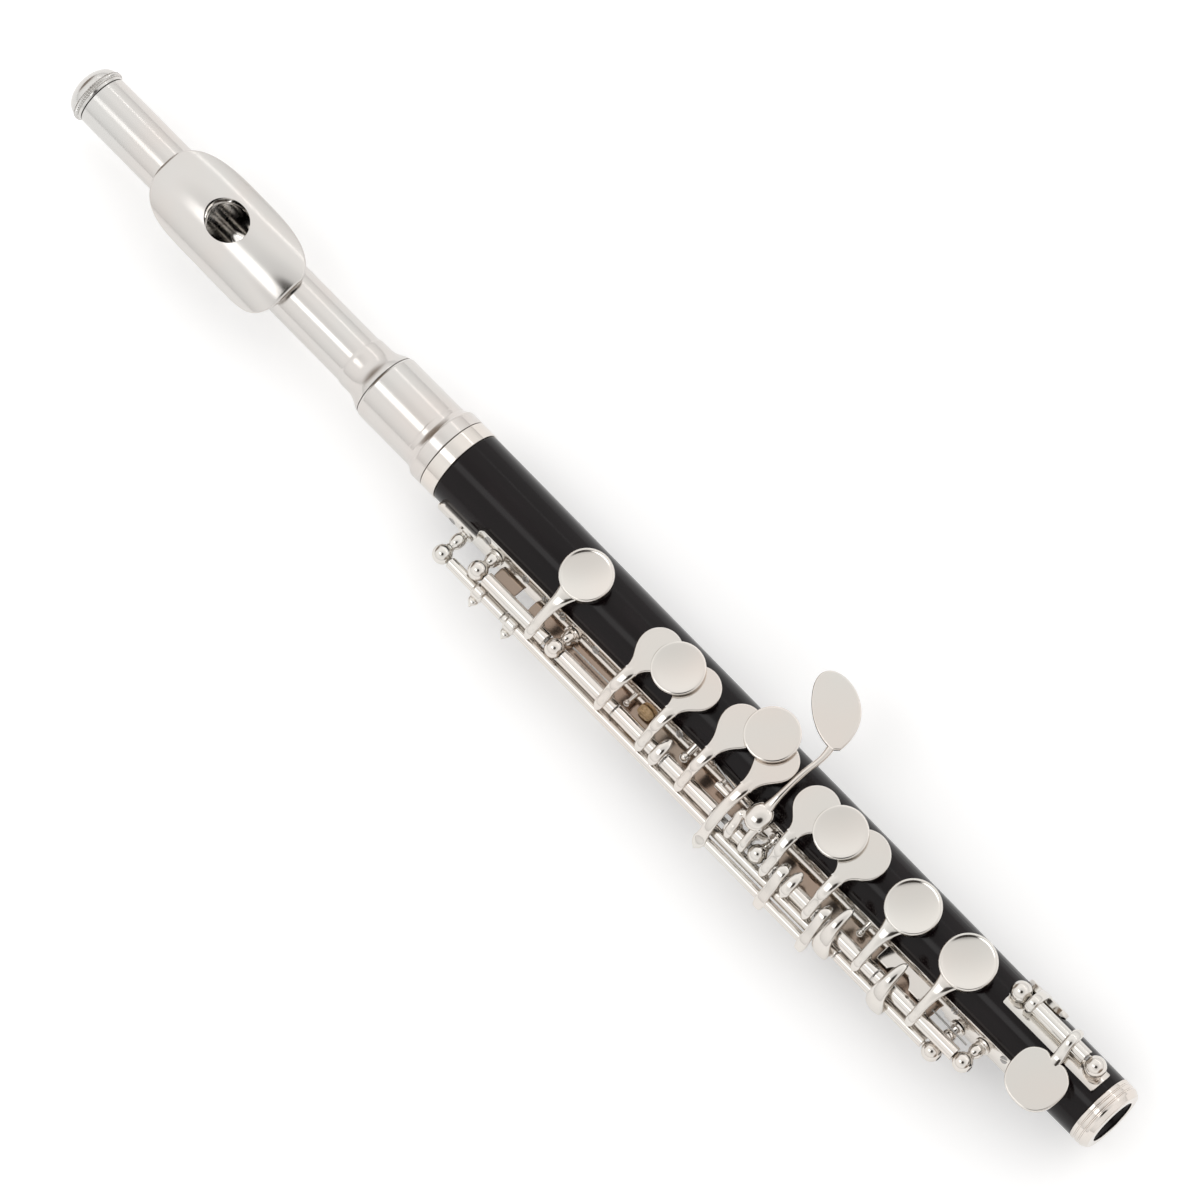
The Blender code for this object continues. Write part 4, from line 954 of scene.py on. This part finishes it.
def horn(x, lean):
    """A trill touch: a curved horn from under the outer rod up and over the inner one."""
    return bar(about(OUTER, (x + 1.7 * lean, -0.6, -1.5, 0.8, 0.5), (x + 0.8 * lean, -2.1, -0.1, 1.9, 0.8),
                     (x + 0.3 * lean, -1.7, 2.2, 2.3, 1.0), (x, -0.4, 4.6, 1.9, 1.0),
                     (x - 0.1, 2.0, 6.5, 1.55, 0.95), (x - 0.1, 4.6, 7.2, 1.25, 0.8),
                     (x, 6.8, 7.2, 0.8, 0.6), (x + 0.1, 7.6, 6.9, 0.4, 0.35)), power=2.1, across=30)


def trill_cup(node):
    """Collar, wrap-under arm and lid of a trill key, which is shut at rest."""
    x = middle_x(node)
    seat, up = ray(TRILL_ANGLE), radius_at(x) + 0.1
    top = seat * (up + 1.45)
    path = about(OUTER, (x + 1.1, -3.5, -0.5, 0.22, 0.2), (x + 0.9, -2.4, -0.6, 1.1, 0.75),
                 (x + 0.6, -1.6, -1.2, 1.2, 0.8), (x + 0.3, 0.3, -2.6, 1.1, 0.7), (x, 2.2, -5.2, 1.1, 0.6))
    path += [(x, top.y * 0.45 + (OUTER[0] + 3.0) * 0.55, top.z - 0.2, 1.1, 0.55),
             (x, top.y - 0.6, top.z - 0.7, 1.1, 0.5), (x, top.y + 1.2, top.z - 1.1, 0.8, 0.4)]
    skin(node, up + 0.05, up + 0.85, 2.75, (x, 0, 0), seat)
    return [hub(x + 0.7, OUTER, 1.95, 3.0), bar(path), lid(up, 3.4, (x, 0, 0), seat, 1.7, 0.9)]


def build_trills():
    """The D trill key is a tube, and the D sharp trill key's rod runs through it."""
    start, end = 147.6, 246.8
    of_node("d_trill_key", "key_silver", rod(start, end, OUTER, OUTER_R),
            join=trill_cup("d_trill_pad") + [horn(243.7, 0.8)], cut=[drill(140, 255, OUTER, 0.8)])
    core = turned([(127.4, 0), (127.4, 0.6), (131.2, 0.6), (131.2, OUTER_R), (start - 0.3, OUTER_R),
                   (start - 0.3, 0.65), (end + 0.3, 0.65), (end + 0.3, OUTER_R), (272.3, OUTER_R),
                   (272.3, 0.6), (276.1, 0.6), (276.1, 0)], FINE, (0, *OUTER), ease=0.08)
    of_node("dsharp_trill_key", "key_silver", core, join=trill_cup("dsharp_trill_pad") + [horn(259.5, 1.0)])


def dsharp_touch(points=140):
    """Outline of the flat touch: nearly a square with very round corners, one of them cut back."""
    outline = []
    for k in range(points):
        a = 2 * pi * k / points
        size = (1 - 0.12 * max(0, cos(a + radians(140))) ** 2 - 0.05 * max(0, cos(a + radians(40))) ** 2
                - 0.14 * max(0, cos(a - radians(92))) ** 60)
        outline.append((294.8 + size * 6.7 * bent(cos(a), 0.83), -7.2 + size * 6.4 * bent(sin(a), 0.83)))
    return outline


def build_dsharp():
    angle, seat = radians(DSHARP_ANGLE), ray(DSHARP_ANGLE)
    near = seat * (DSHARP_SEAT + 1.5) + Vector((0, -sin(angle), cos(angle))) * 4.6
    front = bar([(295.0, -2.6, 10.75, 1.4, 0.45), (294.8, -0.4, 11.1, 1.3, 0.55),
                 (294.5, 1.7, 12.2, 1.2, 0.65)]
                + about(DSHARP, (294.3, 0, 1.95, 1.2, 0.7), (294.2, 1.8, 1.2, 1.2, 0.65),
                        (294.2, 2.7, 0.1, 0.8, 0.5)), power=2.2)
    back = bar(about(DSHARP, (283.4, -2.0, 0.2, 0.7, 0.4), (283.4, -1.3, 1.4, 1.1, 0.6),
                     (283.4, 0.3, 1.95, 1.1, 0.7), (283.4, 2.2, 0.6, 1.1, 0.6))
               + [(283.0, near.y - 0.5, near.z + 1.9, 1.2, 0.5), (283.1, near.y + 0.1, near.z, 1.2, 0.45),
                  (283.1, near.y + 0.7, near.z - 2.6, 1.0, 0.35)])
    where = (DSHARP_X, 0, 0), seat
    key("dsharp_key", DSHARP, (282.3, 298.7),
        [hub(283.4, DSHARP), hub(294.3, DSHARP, 1.9, 2.4), plate(dsharp_touch(), 10.2, 11.2, 0.4), front,
         back, lid(DSHARP_SEAT, 5.4, *where, 1.75)])
    skin("dsharp_pad", DSHARP_SEAT + 0.05, DSHARP_SEAT + 0.95, 4.75, *where)


def build_thumb():
    up, where = radius_at(163) + 1.4, ((163.0, 0.3, 0), (0, 0, -1))
    cover = lid(up, 4.6, *where, 1.9, bevel=0.4, ease=0.2)
    touch = [(171.6, -4.6, -12.0, 2.0, 0.5), (171.8, -1.5, -12.0, 2.9, 0.5), (172.0, 1.6, -11.8, 2.7, 0.45),
             (172.0, 3.4, -11.4, 1.6, 0.4)]
    for node, x, tube, end, more in (
            ("thumb_b_key", 163.0, (159.4, 167.3), [(163.0, -3.5, -12.0, 1.6, 0.45)], [cover]),
            ("thumb_bflat_key", 171.5, (167.7, 175.3), touch, [])):
        path = about(THUMB, (x, -0.3, -1.7, 1.0, 0.4), (x, 1.6, -3.0, 1.2, 0.55))
        key(node, THUMB, tube, [hub(x, THUMB), bar(path + [(x, -7.0, -11.6, 1.3, 0.55)] + end)] + more)
        if more:
            skin("thumb_b_pad", up, up + 0.95, 3.95, *where)


def build_small():
    for name, start, end in (("spring_g", (200.6, -7.3, 6.7), (218.0, -9.4, 5.3)),
                             ("spring_a", (162.6, -11.1, 3.9), (173.8, -11.1, 4.6)),
                             ("spring_d", (279.0, -10.9, 4.0), (268.9, -10.9, 4.7))):
        a, b = Vector(start), Vector(end)
        of_node(name, "steel", turned([(0, 0.22), ((b - a).length, 0.2)], 16, a, b - a))
    out = radius_at(183) + 1.3
    of_node("key_bumper", "cork", turned([(out, 0), (out, 1.7), (out + 1.5, 1.6), (out + 1.5, 0)], ROUND,
                                         (183.0, 0, 0), ray(160), stretch=(1.1, 0.8), ease=0.25))


# ---- studio ----

VIEW_LEAN, VIEW_TILT, VIEW_ROLL = radians(13.85), radians(10.0), radians(45.32)
VIEW_DISTANCE, VIEW_LENS, VIEW_AIM = 1.7136, 249.25, Vector((158.0, 0.54, 0.0))
# the opening's direction, and how many degrees from it its edge and its faint halo start and end
OPENING, OPENING_EDGE, OPENING_HALO = (0.24, -0.17, 0.956), (19, 11), (46, 20)
OPENING_COLOUR, HALO_SHARE, END_COLOUR = (0.04, 0.034, 0.03), 0.22, (0.22, 0.17, 0.13)
TENT_STRENGTH, FLOOR_GLOW = 1.1, 0.2
# brightness from straight down (0) to straight up (1), and where along the bore the two ends darken
TENT = ((0.0, 0.9), (0.46, 0.9), (0.5, 0.62), (0.56, 0.85), (0.72, 0.98), (0.9, 1.05), (1.0, 1.08))
FOOT_END_DARK, CROWN_END_DARK = (0.80, 0.97), (0.82, 0.97)
LAMP_REACH = 1.5
LAMPS = (("lamp_near", -21, -0.25, (0.75, 0.42), 1.5), ("strip_far", 50, -0.3, (2.4, 0.04), 1.9))


def build_camera():
    """Looks down on the keys, leaning towards the foot and the rods, with the bore set on a diagonal."""
    back = Vector((sin(VIEW_LEAN), -sin(VIEW_TILT) * cos(VIEW_LEAN), cos(VIEW_TILT) * cos(VIEW_LEAN)))
    along = (Vector((1, 0, 0)) - back * back.x).normalized()
    across = back.cross(along)
    right = along * cos(VIEW_ROLL) + across * sin(VIEW_ROLL)
    up = across * cos(VIEW_ROLL) - along * sin(VIEW_ROLL)
    camera = bpy.data.objects.new("camera", bpy.data.cameras.new("camera"))
    bpy.context.scene.collection.objects.link(camera)
    camera.data.sensor_width, camera.data.lens = 36, VIEW_LENS
    camera.data.clip_start, camera.data.clip_end = 0.05, 20
    at = (VIEW_AIM - CENTRE) * MM + back * VIEW_DISTANCE
    camera.matrix_world = Matrix.Translation(at) @ Matrix((right, up, back)).transposed().to_4x4()
    bpy.context.scene.camera = camera


def area_light(name, angle, x, size, radiance):
    """A lamp that looks at the bore from an angle off the top, with the same brightness at any size."""
    a = radians(angle)
    data = bpy.data.lights.new(name, "AREA")
    data.shape, data.size, data.size_y = "RECTANGLE", size[0], size[1]
    data.energy = radiance * pi * size[0] * size[1]
    light = bpy.data.objects.new(name, data)
    light.location = (x, LAMP_REACH * sin(a), LAMP_REACH * cos(a))
    light.rotation_euler = (light.location - Vector((x, 0, 0))).to_track_quat("Z", "Y").to_euler()
    bpy.context.scene.collection.objects.link(light)


def build_studio():
    """A white tent with darker ends beyond the crown and the foot and a dark opening overhead for the
    camera, a broad lamp on the rods' side and a thin strip on the far side."""
    bpy.context.scene.view_settings.view_transform = "Standard"
    world = bpy.data.worlds.new("studio")
    bpy.context.scene.world = world
    world.use_nodes = True
    nodes, links = world.node_tree.nodes, world.node_tree.links
    direction = nodes.new("ShaderNodeTexCoord").outputs["Generated"]

    def along(axis):
        """Cosine between the looked-up direction and an axis."""
        made = nodes.new("ShaderNodeVectorMath")
        made.operation = "DOT_PRODUCT"
        made.inputs[1].default_value = axis
        links.new(direction, made.inputs[0])
        return made.outputs["Value"]

    def fade(value, low, high, at_low, at_high):
        made = nodes.new("ShaderNodeMapRange")
        for name, given in zip(("From Min", "From Max", "To Min", "To Max"), (low, high, at_low, at_high)):
            made.inputs[name].default_value = given
        made.interpolation_type = "SMOOTHSTEP"
        links.new(value, made.inputs["Value"])
        return made.outputs["Result"]

    def mixed(share, one, other):
        made = nodes.new("ShaderNodeMix")
        made.data_type, made.clamp_factor = "RGBA", True
        links.new(share, made.inputs["Factor"])
        for name, given in (("A", one), ("B", other)):
            socket = next(i for i in made.inputs if i.name == name and i.type == "RGBA")
            if isinstance(given, tuple):
                socket.default_value = (*given, 1)
            else:
                links.new(given, socket)
        return next(o for o in made.outputs if o.type == "RGBA")

    tent = nodes.new("ShaderNodeValToRGB")
    set_stops(tent, [(at, (value, value * 0.995, value * 0.99)) for at, value in TENT])
    links.new(fade(along(UP), -1, 1, 0, 1), tent.inputs["Fac"])
    colour = mixed(fade(along((1, 0, 0)), *FOOT_END_DARK, 0, 1), tent.outputs["Color"], END_COLOUR)
    colour = mixed(fade(along((-1, 0, 0)), *CROWN_END_DARK, 0, 1), colour, END_COLOUR)
    for edge, share in ((OPENING_HALO, HALO_SHARE), (OPENING_EDGE, 1)):
        inside = fade(along(OPENING), *(cos(radians(a)) for a in edge), 0, share)
        colour = mixed(inside, colour, OPENING_COLOUR)
    links.new(colour, nodes["Background"].inputs["Color"])
    nodes["Background"].inputs["Strength"].default_value = TENT_STRENGTH
    for lamp in LAMPS:
        area_light(*lamp)


def build_floor():
    """A plain pale floor that the thumb keys touch."""
    low, reach = cad_low.z - 0.0002, 3.0
    mesh = bpy.data.meshes.new("floor")
    corners = [(x * reach, y * reach, low) for x, y in ((-1, -1), (1, -1), (1, 1), (-1, 1))]
    mesh.from_pydata(corners, [], [(0, 1, 2, 3)])
    floor = bpy.data.objects.new("floor", mesh)
    bpy.context.scene.collection.objects.link(floor)
    n = Nodes("floor")
    n.wire(n.ramp(n.noise(3), [(0.3, (0.93, 0.93, 0.93)), (0.7, (0.95, 0.95, 0.95))]), "Base Color")
    n.shader.inputs["Roughness"].default_value = 0.9
    n.shader.inputs["Specular IOR Level"].default_value = 0.1
    n.shader.inputs["Emission Color"].default_value = (1, 1, 1, 1)
    n.shader.inputs["Emission Strength"].default_value = FLOOR_GLOW
    floor.data.materials.append(n.material)


build_head()
build_body()
build_frames()
build_upper_keys()
build_lower_g()
build_gsharp()
build_trills()
build_dsharp()
build_thumb()
build_small()
build_camera()
build_studio()
build_floor()
